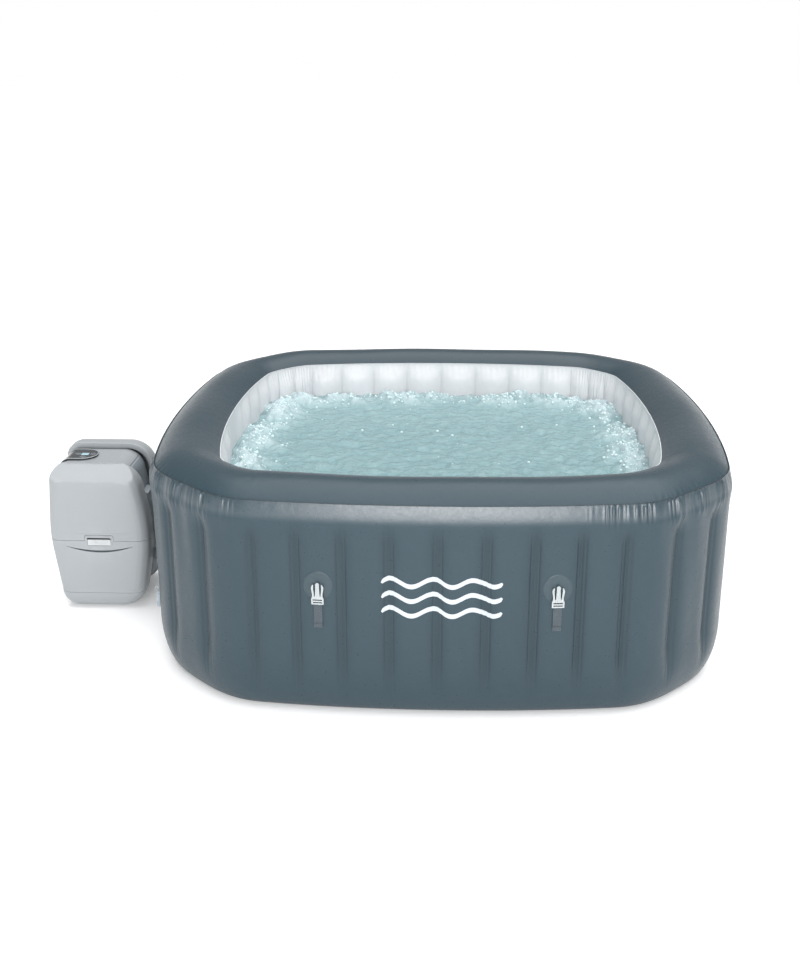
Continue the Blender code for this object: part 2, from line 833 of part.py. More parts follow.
def grip_outline():
    """A crescent: two arcs through the same end points, one hanging lower than the other."""
    steps = 10
    lower = []
    upper = []
    for i in range(steps + 1):
        t = -1 + 2 * i / steps
        x = pump_middle_x() + GRIP_WIDTH / 2 * t
        lower.append((x, -(GRIP_DROP + GRIP_HEIGHT) * (1 - t * t)))
        upper.append((x, -GRIP_DROP * (1 - t * t)))
    return lower + upper[-2:0:-1]


def casing():
    front_mesh = mesh_from("pump_front_shell", lambda bm: loft(bm, shell_rings(-1, FRONT_DROP), cap_last=True))
    hatch_mesh = front_mesh.copy()
    front = solidify(add_object("pump_front_shell", front_mesh, casing_grey, smooth=True), SHELL)
    boolean(front, hatch_zone("hatch_opening", HATCH_GAP))
    hatch = solidify(add_object("pump_hatch", hatch_mesh, casing_grey, smooth=True), SHELL)
    boolean(hatch, hatch_zone("hatch_body", -HATCH_GAP), "INTERSECT")
    face = PUMP_Y - PUMP_HALF_DEPTH
    hinge_y, hinge_z = hatch_hinge()
    window_low = hinge_z + HATCH_HEIGHT + TONGUE_HEIGHT - 0.009 - LATCH_HEIGHT - LATCH_TRAVEL
    window = box(
        "latch_window",
        (pump_middle_x() - LATCH_WIDTH / 2 - FIT, face - 0.02, window_low - FIT),
        (pump_middle_x() + LATCH_WIDTH / 2 + FIT, face + 0.02, window_low + LATCH_HEIGHT + LATCH_TRAVEL + FIT),
    )
    boolean(hatch, window)
    grip_top = window_low - 0.002
    grip = prism("grip_slot", grip_outline(), face - 0.02, face + 0.02,
                 lambda x, z, y: (x, y, grip_top + z))
    boolean(hatch, grip)
    move_origin(hatch, Vector((pump_middle_x(), hinge_y, hinge_z)))
    box(
        "hatch_latch",
        (pump_middle_x() - LATCH_WIDTH / 2, face - 0.0015, window_low),
        (pump_middle_x() + LATCH_WIDTH / 2, face + SHELL + 0.003, window_low + LATCH_HEIGHT),
        latch_white,
        bevel=0.001,
    )
    rear_mesh = mesh_from("pump_rear_shell", lambda bm: loft(bm, shell_rings(1, 0), cap_last=True, flip=True))
    solidify(add_object("pump_rear_shell", rear_mesh, casing_grey, smooth=True), SHELL)


def move_origin(obj, origin):
    """Put an object's origin on its joint without moving its shape."""
    obj.data.transform(Matrix.Translation(-origin))
    obj.location = origin


def spine():
    """The recessed band between the two halves of the casing."""
    corners = pump_corners(PORT_RECESS)
    reach = BAND_HALF + 0.008
    rings = [pump_ring(BAND_RECESS, PUMP_Y + y, corners) for y in (reach, -reach)]
    return sheet("pump_spine", rings, band_grey, SHELL)


def spine_top():
    return PUMP_HEIGHT - BAND_RECESS


def pump_base():
    box(
        "pump_base",
        (pump_outer_x() + 0.075, PUMP_Y - 0.115, 0),
        (pump_tub_x() - 0.100, PUMP_Y + 0.115, PUMP_FOOT - FIT),
        band_grey,
        bevel=0.001,
    )


def port_plate():
    """The block on the tub side of the band, shaped to its bulge, with a spigot for each union."""
    middle = (PUMP_FOOT + PUMP_HEIGHT) / 2
    slope = TUB_BARREL / (PUMP_HEIGHT - middle)
    back = pump_tub_x() - PORT_RECESS - BAND_RECESS * math.hypot(1, slope) + FIT
    front = back + 0.004
    low = AIR_PORT_Z - 0.045
    high = INLET_PORT_Z + 0.045
    outline = [
        (back - slope * (middle - low), low),
        (front, low),
        (front, high),
        (back - slope * (high - middle), high),
        (back, middle),
    ]
    plate = prism("port_plate", outline, PUMP_Y - 0.042, PUMP_Y + 0.042, lambda x, z, y: (x, y, z), band_grey)
    end_x = -TUB_HALF - COLLAR_LENGTH - 2 * FIT
    foot_x = front - 0.002
    for name, z in (("outlet", OUTLET_PORT_Z), ("inlet", INLET_PORT_Z), ("air", AIR_PORT_Z)):
        length = end_x - foot_x
        profile = [
            (PORT_COLLAR, length),
            (PORT_COLLAR, length - 0.006),
            (PORT_COLLAR - 0.004, length - 0.006),
            (PORT_COLLAR - 0.004, 0),
            (PORT_BORE, 0),
            (PORT_BORE, length),
        ]
        spigot = turned(name + "_spigot", profile, None, Vector((foot_x, PORT_Y, z)), OUTWARD[1], steps=16)
        boolean(plate, spigot, "UNION")


def union_nut(name, z):
    """A lobed nut that draws the pump's spigot to the tub's collar."""
    lobes = 8
    reach = 0.0165
    outline = []
    for i in range(2 * lobes):
        radius = 0.0325 if i % 2 else 0.0295
        angle = math.pi * i / lobes
        outline.append((radius * math.cos(angle), radius * math.sin(angle)))
    bore = circle(PORT_COLLAR + 2 * FIT, 16)
    nut = flat_outline(name, [outline, bore], reach, fitting_grey)
    return place(nut, Vector((-TUB_HALF - COLLAR_LENGTH, PORT_Y, z)), OUTWARD[3])


def control_panel():
    """The dark panel on top of the band, with its window and push buttons."""
    low = spine_top() + FIT
    left = pump_outer_x() + OUTER_BARREL + TOP_OUTER_RADIUS
    half = PANEL_WIDTH / 2
    square = PANEL_LENGTH - half
    round_end = [
        (square + half * math.sin(math.pi * i / 10), -half * math.cos(math.pi * i / 10)) for i in range(11)
    ]
    edge = [(0, half), (0, -half)] + round_end
    window_low = (0.023, -0.011)
    window_high = (0.049, 0.011)
    window = [window_low, (window_high[0], window_low[1]), window_high, (window_low[0], window_high[1])]
    buttons = {"power_button": (0.012, 0.0), "bubble_button": (0.063, 0.0), "heat_button": (0.036, -0.032)}
    holes = [circle(BUTTON_RADIUS + FIT, 14, x, y) for x, y in buttons.values()]
    middle_z = low + PANEL_THICKNESS / 2
    panel = flat_outline("control_panel", [edge, window] + holes, PANEL_THICKNESS / 2, panel_dark)
    place(panel, Vector((left, PUMP_Y, middle_z)))
    top = low + PANEL_THICKNESS
    lens_low = Vector((left + window_low[0] + FIT, PUMP_Y + window_low[1] + FIT, top - 0.0025))
    lens_high = Vector((left + window_high[0] - FIT, PUMP_Y + window_high[1] - FIT, top - 0.0003))
    box("display_window", lens_low, lens_high, window_glass)
    for name, (x, y) in buttons.items():
        foot = top + 0.0006 - BUTTON_HEIGHT
        profile = [
            (0, BUTTON_HEIGHT),
            (BUTTON_RADIUS - 0.001, BUTTON_HEIGHT),
            (BUTTON_RADIUS, BUTTON_HEIGHT - 0.0008),
            (BUTTON_RADIUS, 0),
            (0, 0),
        ]
        turned(name, profile, button_grey, Vector((left + x, PUMP_Y + y, foot)), Vector((0, 0, 1)),
               steps=14, closed=False)


def vanes(name, count, hub, tip, half_thickness, sweep):
    """A flat bladed wheel: each blade is swept back by sweep radians."""
    outline = []
    blade = 2 * math.pi / count
    for i in range(count):
        base = i * blade
        for radius, angle in (
            (hub, base),
            (hub, base + 0.45 * blade),
            (tip, base + 0.45 * blade + sweep),
            (tip, base + 0.62 * blade + sweep),
            (hub, base + 0.72 * blade),
        ):
            outline.append((radius * math.cos(angle), radius * math.sin(angle)))
    return flat_outline(name, [outline], half_thickness, band_grey)


def machinery():
    """What the casing holds: water pump, air blower, heater and board, standing on the band's floor."""
    floor = PUMP_FOOT + BAND_RECESS + SHELL + FIT
    along = OUTWARD[1]
    wall = MACHINE_WALL
    z = floor + MACHINE_FEET + VOLUTE_RADIUS
    heater_x = pump_outer_x() + HEATER_INSET
    heater_side = heater_x + HEATER_RADIUS
    start = pump_tub_x() - VOLUTE_INSET
    shaft_end = start - FIT + 0.020
    length = shaft_end - heater_side - MACHINE_GAP
    motor = [
        (0, 0),
        (0.005, 0),
        (0.005, -0.022),
        (MOTOR_RADIUS, -0.022),
        (MOTOR_RADIUS, -length + 0.008),
        (MOTOR_RADIUS - 0.010, -length),
        (0, -length),
    ]
    turned("pump_motor", motor, machine_grey, Vector((shaft_end, PUMP_Y, z)), along, closed=False)
    volute = [
        (VOLUTE_RADIUS, VOLUTE_LENGTH),
        (VOLUTE_RADIUS, 0),
        (0.0065, 0),
        (0.0065, wall),
        (VOLUTE_RADIUS - wall, wall),
        (VOLUTE_RADIUS - wall, VOLUTE_LENGTH - wall),
        (PORT_BORE, VOLUTE_LENGTH - wall),
        (PORT_BORE, VOLUTE_LENGTH),
    ]
    turned("pump_volute", volute, band_grey, Vector((start, PUMP_Y, z)), along)
    wheel = vanes("pump_impeller", 6, 0.011, 0.036, 0.004, 0.30)
    place(wheel, Vector((start + VOLUTE_LENGTH - wall - 0.006, PUMP_Y, z)), along)
    blower_x = heater_side + BLOWER_GAP + BLOWER_RADIUS
    blower_z = z + VOLUTE_RADIUS + FIT + BLOWER_RADIUS
    blower = [
        (0, -BLOWER_HALF + wall),
        (BLOWER_RADIUS - wall, -BLOWER_HALF + wall),
        (BLOWER_RADIUS - wall, BLOWER_HALF - wall),
        (0.022, BLOWER_HALF - wall),
        (0.022, BLOWER_HALF),
        (BLOWER_RADIUS, BLOWER_HALF),
        (BLOWER_RADIUS, -BLOWER_HALF),
        (0, -BLOWER_HALF),
    ]
    toward = OUTWARD[0]
    blower_at = Vector((blower_x, PUMP_Y, blower_z))
    turned("air_blower", blower, machine_grey, blower_at, toward, closed=False)
    place(vanes("blower_fan", 8, 0.020, 0.050, 0.020, 0.15), blower_at, toward)
    heater = [
        (0, HEATER_LENGTH),
        (HEATER_RADIUS - 0.006, HEATER_LENGTH),
        (HEATER_RADIUS, HEATER_LENGTH - 0.008),
        (HEATER_RADIUS, 0),
        (0, 0),
    ]
    turned("heater_tube", heater, steel, Vector((heater_x, PUMP_Y + 0.020, floor + 0.012)), Vector((0, 0, 1)),
           closed=False)
    board_half = pump_middle_x() - heater_side - BOARD_GAP
    board_foot = blower_z + BLOWER_RADIUS + FIT
    box(
        "circuit_board",
        (pump_middle_x() - board_half, PUMP_Y - 0.001, board_foot),
        (pump_middle_x() + board_half, PUMP_Y + 0.001, board_foot + BOARD_HEIGHT),
        board_green,
    )


def cable_gland():
    """The strain relief on the rear face where the mains cord enters."""
    profile = [
        (0.0075, 0.030),
        (0.010, 0.012),
        (0.016, 0.012),
        (0.016, 0),
        (0.0045, 0),
        (0.0045, 0.030),
    ]
    origin = Vector((pump_middle_x(), PUMP_Y + PUMP_HALF_DEPTH + FIT, 0.095))
    turned("cable_gland", profile, panel_dark, origin, OUTWARD[2], steps=14)


clear_scene()
parts = collection("inflatable_hot_tub")
cutters = collection("cutters")
cutters.hide_render = True

vinyl_grey = material("vinyl_grey", (0.115, 0.158, 0.190), 0.42)
vinyl_white = material("vinyl_white", (0.80, 0.82, 0.84), 0.45)
webbing_grey = material("webbing_grey", (0.20, 0.24, 0.28), 0.85)
buckle_white = material("buckle_white", (0.78, 0.80, 0.80), 0.40)
fitting_grey = material("fitting_grey", (0.52, 0.56, 0.60), 0.45)
filter_white = material("filter_white", (0.82, 0.83, 0.84), 0.60)
casing_grey = material("casing_grey", (0.51, 0.54, 0.57), 0.40)
band_grey = material("band_grey", (0.30, 0.33, 0.36), 0.50)
latch_white = material("latch_white", (0.78, 0.80, 0.81), 0.40)
panel_dark = material("panel_dark", (0.030, 0.034, 0.040), 0.30)
window_glass = material("window_glass", (0.45, 0.62, 0.68), 0.10)
button_grey = material("button_grey", (0.22, 0.24, 0.27), 0.40)
machine_grey = material("machine_grey", (0.12, 0.13, 0.14), 0.55)
steel = material("steel", (0.60, 0.60, 0.62), 0.30, 1.0)
board_green = material("board_green", (0.03, 0.15, 0.07), 0.50)

wall = outer_wall()
top_rim()
liner = inner_liner()
chamber_base()
tub_floor()
bubble_channel()
# The middle web of the pump's side is left out where the fittings pass.
beam_sets = [wall_beams(side, (RIBS_PER_SIDE // 2,) if side == 3 else ()) for side in range(4)]
cover_straps()
through_fitting("water_outlet_fitting", OUTLET_PORT_Z)
through_fitting("water_inlet_fitting", INLET_PORT_Z)
through_fitting("air_fitting", AIR_PORT_Z)
outlet_screen()
filter_pieces()
drain_valve()
air_valve()
wall_holes(wall, liner, beam_sets[3])
casing()
spine()
pump_base()
port_plate()
union_nut("outlet_union_nut", OUTLET_PORT_Z)
union_nut("inlet_union_nut", INLET_PORT_Z)
union_nut("air_union_nut", AIR_PORT_Z)
control_panel()
machinery()
cable_gland()
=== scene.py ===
"""Looks of the inflatable hot tub and its pump unit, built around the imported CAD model.

Metres, +Z up, in the CAD model's frame. The tub's plan is measured in stations: one station is one rib,
0 starts the front side, and they run anticlockwise seen from above.
"""
import json
import math
import random

import bmesh
import bpy
import numpy as np
from mathutils import Matrix, Vector, noise


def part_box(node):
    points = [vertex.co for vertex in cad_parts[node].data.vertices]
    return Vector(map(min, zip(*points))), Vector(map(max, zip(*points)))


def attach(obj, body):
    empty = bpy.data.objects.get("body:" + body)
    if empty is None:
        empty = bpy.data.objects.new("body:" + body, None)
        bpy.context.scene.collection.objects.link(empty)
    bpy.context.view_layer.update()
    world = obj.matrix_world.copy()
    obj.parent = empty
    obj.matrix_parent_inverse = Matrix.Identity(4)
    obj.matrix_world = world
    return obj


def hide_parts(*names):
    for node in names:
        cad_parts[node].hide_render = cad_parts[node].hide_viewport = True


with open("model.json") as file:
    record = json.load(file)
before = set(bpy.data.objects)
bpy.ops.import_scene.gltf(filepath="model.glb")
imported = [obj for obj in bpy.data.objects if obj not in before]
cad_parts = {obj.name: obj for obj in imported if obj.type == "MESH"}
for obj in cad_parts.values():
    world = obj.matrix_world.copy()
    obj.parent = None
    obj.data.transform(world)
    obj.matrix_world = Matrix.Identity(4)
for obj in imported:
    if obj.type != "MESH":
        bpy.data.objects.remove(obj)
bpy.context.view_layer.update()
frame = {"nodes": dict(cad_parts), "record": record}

UP = Vector((0, 0, 1))
NODE_BODY = {node: body for body, nodes in frame["record"]["behaviour"]["bodies"].items() for node in nodes}

# The tub's plan, as in the CAD model
TUB_HALF = 0.900
WALL_WIDTH = 0.200
CORNER_CENTRE = 0.536
OUTER_BOW = 0.110
FOOT_BOW = 0.095
RIBS_PER_SIDE = 8
RIBS_PER_CORNER = 3
RIBS_PER_QUARTER = RIBS_PER_SIDE + RIBS_PER_CORNER
RIB_COUNT = 4 * RIBS_PER_QUARTER
RIB_PITCH = 2 * CORNER_CENTRE / RIBS_PER_SIDE
OPENING_HALF = TUB_HALF - WALL_WIDTH
SIDES = ("front", "right", "rear", "left")

# The wall's section
FOOT_HEIGHT = 0.185
FOOT_INSET = 0.065
RIB_DEPTH = 0.008
SHEET = 0.0015
SEAM_GAP = 0.0013
SEAM_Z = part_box("outer_wall")[1].z + SEAM_GAP
SEAM_INSET = 0.0125
EQUATOR_Z = SEAM_Z - 0.065
RIM_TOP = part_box("top_rim")[1].z
INNER_SEAM_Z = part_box("inner_liner")[1].z + SHEET + SEAM_GAP
SHOULDER_INSET = SEAM_INSET + 0.004
SHOULDER_SWELL = 0.004
PLEATS_PER_STATION = 8.4

# What the wall holds and carries
BEAM_LOW, BEAM_HIGH = 0.200, 0.550
WATER_Z = 0.524
WEBBING_WIDTH = 0.0245
THREAD = 0.00035
FITTINGS = ("water_outlet_fitting", "water_inlet_fitting", "air_fitting")


# ---------------------------------------------------------------- meshes


def link(name, mesh, finish, smooth=True, sharp=None):
    obj = bpy.data.objects.new(name, mesh)
    bpy.context.scene.collection.objects.link(obj)
    if finish is not None:
        mesh.materials.append(finish)
    if smooth and len(mesh.polygons):
        mesh.shade_smooth()
        if sharp is not None:
            mesh.set_sharp_from_angle(angle=math.radians(sharp))
    return obj


def grid(name, points, finish, closed=True, flip=False, sharp=None):
    """A surface through rows of points; closed joins each row's end to its start."""
    rows, columns = points.shape[:2]
    index = np.arange(rows * columns).reshape(rows, columns)
    after = np.roll(index, -1, axis=1)
    if not closed:
        index = index[:, :-1]
        after = after[:, :-1]
    quads = np.stack([index[:-1], after[:-1], after[1:], index[1:]], axis=-1).reshape(-1, 4)
    if flip:
        quads = quads[:, ::-1]
    mesh = bpy.data.meshes.new(name)
    mesh.from_pydata(points.reshape(-1, 3).tolist(), [], quads.tolist())
    return link(name, mesh, finish, sharp=sharp)


def thicken(obj, thickness, offset=-1.0):
    modifier = obj.modifiers.new("thickness", "SOLIDIFY")
    modifier.thickness = thickness
    modifier.offset = offset
    return obj


def round_edges(obj, width):
    modifier = obj.modifiers.new("edges", "BEVEL")
    modifier.width = width
    modifier.segments = 3
    modifier.limit_method = "ANGLE"
    modifier.angle_limit = math.radians(30)
    return obj


def cut(obj, cutters, operation="DIFFERENCE"):
    """Cut obj with closed meshes, which are then removed."""
    for cutter in cutters:
        modifier = obj.modifiers.new("cut", "BOOLEAN")
        modifier.operation = operation
        modifier.object = cutter
        modifier.solver = "EXACT"
    settle(obj)
    for cutter in cutters:
        bpy.data.objects.remove(cutter)
    return obj


def settle(obj):
    """Apply every modifier of obj."""
    bpy.context.view_layer.update()
    graph = bpy.context.evaluated_depsgraph_get()
    mesh = bpy.data.meshes.new_from_object(obj.evaluated_get(graph))
    obj.modifiers.clear()
    obj.data = mesh
    return obj


def axes_at(origin, outward, up=UP):
    """A matrix whose Z is outward and whose Y is as near to up as it can be."""
    z_axis = Vector(outward).normalized()
    if abs(z_axis.dot(up)) > 0.95:
        up = Vector((0, 1, 0))
    x_axis = up.cross(z_axis).normalized()
    y_axis = z_axis.cross(x_axis)
    turn = Matrix((x_axis, y_axis, z_axis)).transposed()
    return Matrix.Translation(origin) @ turn.to_4x4()


def turned(name, profile, origin, axis, finish, steps=72, lobes=0, lobe_depth=0.0, lobe_rows=()):
    """A turned piece: profile lists (radius, height) down the outer side. lobe_rows get a wavy edge."""
    angles = 2 * np.pi * np.arange(steps) / steps
    rows = []
    for i, (radius, height) in enumerate(profile):
        wave = lobe_depth * (0.5 + 0.5 * np.cos(lobes * angles)) if i in lobe_rows else 0.0
        r = np.full(steps, radius) - wave
        rows.append(np.stack([r * np.cos(angles), r * np.sin(angles), np.full(steps, height)], axis=1))
    obj = grid(name, np.array(rows), finish, flip=True, sharp=40)
    obj.matrix_world = axes_at(origin, axis)
    weld(obj.data)
    return obj


def weld(mesh, distance=1e-6):
    bm = bmesh.new()
    bm.from_mesh(mesh)
    bmesh.ops.remove_doubles(bm, verts=bm.verts, dist=distance)
    bmesh.ops.dissolve_degenerate(bm, dist=distance, edges=bm.edges)
    bm.to_mesh(mesh)
    bm.free()


def rounded(points, radius, steps=4):
    """A closed outline with each corner rounded."""
    made = []
    count = len(points)
    for i in range(count):
        here = Vector(points[i])
        before = Vector(points[i - 1]) - here
        after = Vector(points[(i + 1) % count]) - here
        reach = min(radius, before.length * 0.45, after.length * 0.45)
        start = here + before.normalized() * reach
        end = here + after.normalized() * reach
        for step in range(steps + 1):
            t = step / steps
            made.append(start * (1 - t) ** 2 + here * 2 * t * (1 - t) + end * t * t)
    return made


def oblong(half_width, low, high, centre=0.0):
    """The corners of an upright rectangle."""
    return [(centre - half_width, low), (centre + half_width, low), (centre + half_width, high),
            (centre - half_width, high)]


def curve_mesh(outlines, closed=True, dimensions="3D", **settings):
    """The mesh of a curve through each outline."""
    curve = bpy.data.curves.new("curve", "CURVE")
    curve.dimensions = dimensions
    for key, value in settings.items():
        setattr(curve, key, value)
    for outline in outlines:
        spline = curve.splines.new("POLY")
        spline.points.add(len(outline) - 1)
        for point, place in zip(spline.points, outline):
            point.co = (*place, 1)
        spline.use_cyclic_u = closed
    helper = bpy.data.objects.new("helper", curve)
    bpy.context.scene.collection.objects.link(helper)
    bpy.context.view_layer.update()
    mesh = bpy.data.meshes.new_from_object(helper.evaluated_get(bpy.context.evaluated_depsgraph_get()))
    bpy.data.objects.remove(helper)
    return mesh


def plate(name, outlines, half_thickness, slot, edge, matrix):
    """A flat piece with rounded edges; the first outline is its edge and the others are holes."""
    flat = [[(p[0], p[1], 0) for p in outline] for outline in outlines]
    mesh = curve_mesh(flat, dimensions="2D", fill_mode="BOTH", extrude=half_thickness - edge,
                      bevel_depth=edge, bevel_resolution=2, offset=-edge)
    weld(mesh, 1e-5)
    mesh.materials.clear()
    obj = link(name, mesh, FINISHES[slot], sharp=50)
    obj.matrix_world = matrix
    return obj


def slab(name, low, high, slot, edge):
    """A block with rounded edges."""
    bm = bmesh.new()
    bmesh.ops.create_cube(bm, size=1)
    bmesh.ops.scale(bm, vec=Vector(high) - Vector(low), verts=bm.verts)
    bmesh.ops.translate(bm, vec=(Vector(high) + Vector(low)) / 2, verts=bm.verts)
    bmesh.ops.bevel(bm, geom=bm.edges, offset=edge, segments=4, profile=0.5, affect="EDGES")
    mesh = bpy.data.meshes.new(name)
    bm.to_mesh(mesh)
    bm.free()
    return link(name, mesh, FINISHES[slot], sharp=40)


def prism(name, outline, low, high, to_world=lambda u, v, depth: (u, depth, v), finish=None):
    """An outline drawn out from low to high, front to back unless to_world places its points otherwise."""
    bm = bmesh.new()
    near = [bm.verts.new(to_world(u, v, low)) for u, v in outline]
    far = [bm.verts.new(to_world(u, v, high)) for u, v in outline]
    bm.faces.new(near)
    bm.faces.new(far)
    for i in range(len(outline)):
        j = (i + 1) % len(outline)
        bm.faces.new((near[i], near[j], far[j], far[i]))
    bmesh.ops.recalc_face_normals(bm, faces=bm.faces)
    mesh = bpy.data.meshes.new(name)
    bm.to_mesh(mesh)
    bm.free()
    return link(name, mesh, finish, smooth=False)


def stand_for(piece, node):
    """piece takes the place of a CAD node and moves with its body."""
    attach(piece, NODE_BODY[node])
    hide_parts(node)
    return piece


def belong(piece, body="root"):
    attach(piece, body)
    return piece


def turned_for(node, profile, origin, axis, slot, *details, finish=None):
    """A turned piece that takes the place of a CAD node; details are its steps and its lobes."""
    obj = turned(node + "_skin", profile, origin, axis, FINISHES[finish or slot], *details)
    return stand_for(obj, node)


def middle_of(node, **fixed):
    """The middle of a CAD piece's box, with the coordinates in fixed put in place of its own."""
    low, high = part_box(node)
    middle = (low + high) / 2
    for axis, value in fixed.items():
        setattr(middle, axis, value)
    return middle


def smooth_step(low, high, value):
    t = np.clip((np.asarray(value, float) - low) / (high - low), 0, 1)
    return t * t * (3 - 2 * t)


# ---------------------------------------------------------------- materials


def tint(color, factor):
    return tuple(min(1.0, c * factor) for c in color)


def feed(node, **values):
    """Set a node's inputs; an input's name is written with _ for a space."""
    for name, value in values.items():
        node.inputs[name.replace("_", " ")].default_value = value
    return node


class Finish:
    """Node graph of one material, built in the piece's own coordinates, in metres."""

    def __init__(self, name, color, roughness, specular=0.5, metallic=0.0, coat=0.0):
        self.material = bpy.data.materials.new(name)
        self.material.use_nodes = True
        self.tree = self.material.node_tree
        self.shader = self.tree.nodes["Principled BSDF"]
        self.base = color
        self.level = roughness
        self.color = None
        self.rough = None
        self.height = None
        feed(self.shader, Base_Color=(*color, 1), Roughness=roughness, Metallic=metallic,
             Specular_IOR_Level=specular, Coat_Weight=coat)
        self.place = self.node("ShaderNodeTexCoord").outputs["Object"]

    def node(self, kind, **settings):
        made = self.tree.nodes.new(kind)
        for key, value in settings.items():
            setattr(made, key, value)
        return made

    def join(self, source, target):
        self.tree.links.new(source, target)

    def noise(self, scale, detail=4.0, roughness=0.55, stretch=None):
        texture = feed(self.node("ShaderNodeTexNoise"), Scale=scale, Detail=detail, Roughness=roughness)
        self.join(self.mapped(stretch), texture.inputs["Vector"])
        return texture.outputs["Fac"]

    def cells(self, scale, feature="F1", stretch=None):
        texture = feed(self.node("ShaderNodeTexVoronoi", feature=feature), Scale=scale)
        self.join(self.mapped(stretch), texture.inputs["Vector"])
        return texture.outputs["Distance"]

    def waves(self, scale, direction, distortion=0.0):
        texture = self.node("ShaderNodeTexWave", wave_type="BANDS", bands_direction=direction)
        feed(texture, Scale=scale, Distortion=distortion)
        self.join(self.place, texture.inputs["Vector"])
        return texture.outputs["Fac"]

    def mapped(self, stretch):
        if stretch is None:
            return self.place
        mapping = feed(self.node("ShaderNodeMapping"), Scale=stretch)
        self.join(self.place, mapping.inputs["Vector"])
        return mapping.outputs["Vector"]

    def span(self, source, low, high, from_low=0.3, from_high=0.7):
        scale = feed(self.node("ShaderNodeMapRange"), From_Min=from_low, From_Max=from_high, To_Min=low,
                     To_Max=high)
        self.join(source, scale.inputs["Value"])
        return scale.outputs["Result"]

    def blend_color(self, factor, other):
        """Mix another colour in by factor."""
        mix = self.node("ShaderNodeMix", data_type="RGBA")
        if self.color is None:
            mix.inputs["A"].default_value = (*self.base, 1)
        else:
            self.join(self.color, mix.inputs["A"])
        mix.inputs["B"].default_value = (*other, 1)
        self.join(factor, mix.inputs["Factor"])
        self.color = mix.outputs["Result"]
        return self

    def mottle(self, source, most, other, from_low=0.3, from_high=0.7):
        """Mix another colour in, up to most, where source is high."""
        return self.blend_color(self.span(source, 0.0, most, from_low, from_high), other)

    def vary_rough(self, source, spread):
        self.rough = self.span(source, max(0.02, self.level - spread), self.level + spread)
        return self

    def bump(self, source, distance, strength=1.0):
        made = feed(self.node("ShaderNodeBump"), Strength=strength, Distance=distance)
        self.join(source, made.inputs["Height"])
        if self.height is not None:
            self.join(self.height, made.inputs["Normal"])
        self.height = made.outputs["Normal"]
        return self

    def creases(self, color, low=0.42, high=0.497):
        """Painted shade in the creases, from how the surface bends."""
        bend = self.node("ShaderNodeNewGeometry").outputs["Pointiness"]
        return self.blend_color(self.span(bend, 0.55, 0.0, low, high), color)

    def edges(self, color, low=0.505, high=0.60):
        """Lighter colour along raised edges, from how the surface bends."""
        return self.mottle(self.node("ShaderNodeNewGeometry").outputs["Pointiness"], 0.5, color, low, high)

    def attribute(self, name):
        return self.node("ShaderNodeAttribute", attribute_name=name).outputs["Fac"]

    def done(self):
        for source, name in ((self.color, "Base Color"), (self.rough, "Roughness"), (self.height, "Normal")):
            if source is not None:
                self.join(source, self.shader.inputs[name])
        return self.material


def vinyl(name, color, roughness, grain=1.0, specular=0.5):
    """PVC sheet: a fine pressed grain, soft clouds of tone, painted shade in the creases and, where the weld
    attribute is set, painted shade in the rib valleys.
    """
    f = Finish(name, color, roughness, specular)
    f.mottle(f.noise(3.0, 5.0), 0.55, tint(color, 0.90))
    f.mottle(f.noise(38.0, 3.0), 0.25, tint(color, 1.14), 0.45, 0.75)
    # painted shade: darker where the sheet bends inward, in creases and rib valleys
    f.creases(tint(color, 0.70))
    # painted shade: where the weld attribute is set, the rib valleys of the outer wall are darkened
    f.mottle(f.attribute("weld"), 0.8, tint(color, 0.74), 0.0, 1.0)
    f.join(f.span(f.attribute("taut"), specular, 0.9, 0.0, 1.0), f.shader.inputs["Specular IOR Level"])
    f.vary_rough(f.noise(120.0, 3.0), 0.06)
    f.bump(f.cells(900.0), 0.00006 * grain)
    f.bump(f.noise(420.0, 3.0), 0.00022 * grain)
    f.bump(f.noise(24.0, 3.0), 0.0010 * grain)
    return f.done()


def moulded(name, color, roughness, grain=1.0, coat=0.0, specular=0.5):
    """Moulded plastic with a spark-eroded texture, faint flow marks and lighter edges."""
    f = Finish(name, color, roughness, specular, coat=coat)
    f.mottle(f.noise(9.0, 4.0, stretch=(1, 1, 0.3)), 0.5, tint(color, 0.93))
    f.mottle(f.noise(260.0, 2.0), 0.22, tint(color, 1.12), 0.5, 0.8)
    f.edges(tint(color, 1.25))
    f.vary_rough(f.noise(60.0, 4.0), 0.07)
    f.bump(f.noise(900.0, 2.0), 0.00010 * grain)
    f.bump(f.noise(18.0, 3.0), 0.0005 * grain)
    return f.done()


def woven(name, color):
    """Webbing: ribs across the tape and a twill along it."""
    f = Finish(name, color, 0.85, 0.25)
    across = f.waves(420.0, "Y", 1.5)
    along = f.waves(520.0, "X", 1.0)
    f.mottle(across, 0.6, tint(color, 0.62), 0.2, 0.9)
    f.mottle(f.noise(300.0, 4.0), 0.5, tint(color, 1.35))
    f.vary_rough(f.noise(90.0), 0.08)
    f.bump(across, 0.00035)
    f.bump(along, 0.00020)
    feed(f.shader, Sheen_Weight=0.25)
    return f.done()


def metal(name, color, roughness):
    f = Finish(name, color, roughness, metallic=1.0)
    brushed = f.noise(40.0, 6.0, stretch=(1, 1, 24))
    f.mottle(brushed, 0.5, tint(color, 0.75))
    f.vary_rough(brushed, 0.08)
    f.bump(brushed, 0.0001)
    return f.done()


def board(name, color):
    f = Finish(name, color, 0.45)
    f.blend_color(f.span(f.cells(160.0, "DISTANCE_TO_EDGE"), 0.8, 0.0, 0.02, 0.09), (0.42, 0.30, 0.07))
    f.mottle(f.noise(90.0), 0.5, tint(color, 0.6))
    f.vary_rough(f.noise(200.0), 0.1)
    f.bump(f.cells(160.0, "DISTANCE_TO_EDGE"), 0.0002)
    return f.done()


def pleated(name, color):
    """Filter paper."""
    f = Finish(name, color, 0.9, 0.2)
    f.mottle(f.noise(500.0, 5.0), 0.6, tint(color, 0.82))
    f.vary_rough(f.noise(80.0), 0.05)
    f.bump(f.noise(700.0, 4.0), 0.0002)
    return f.done()


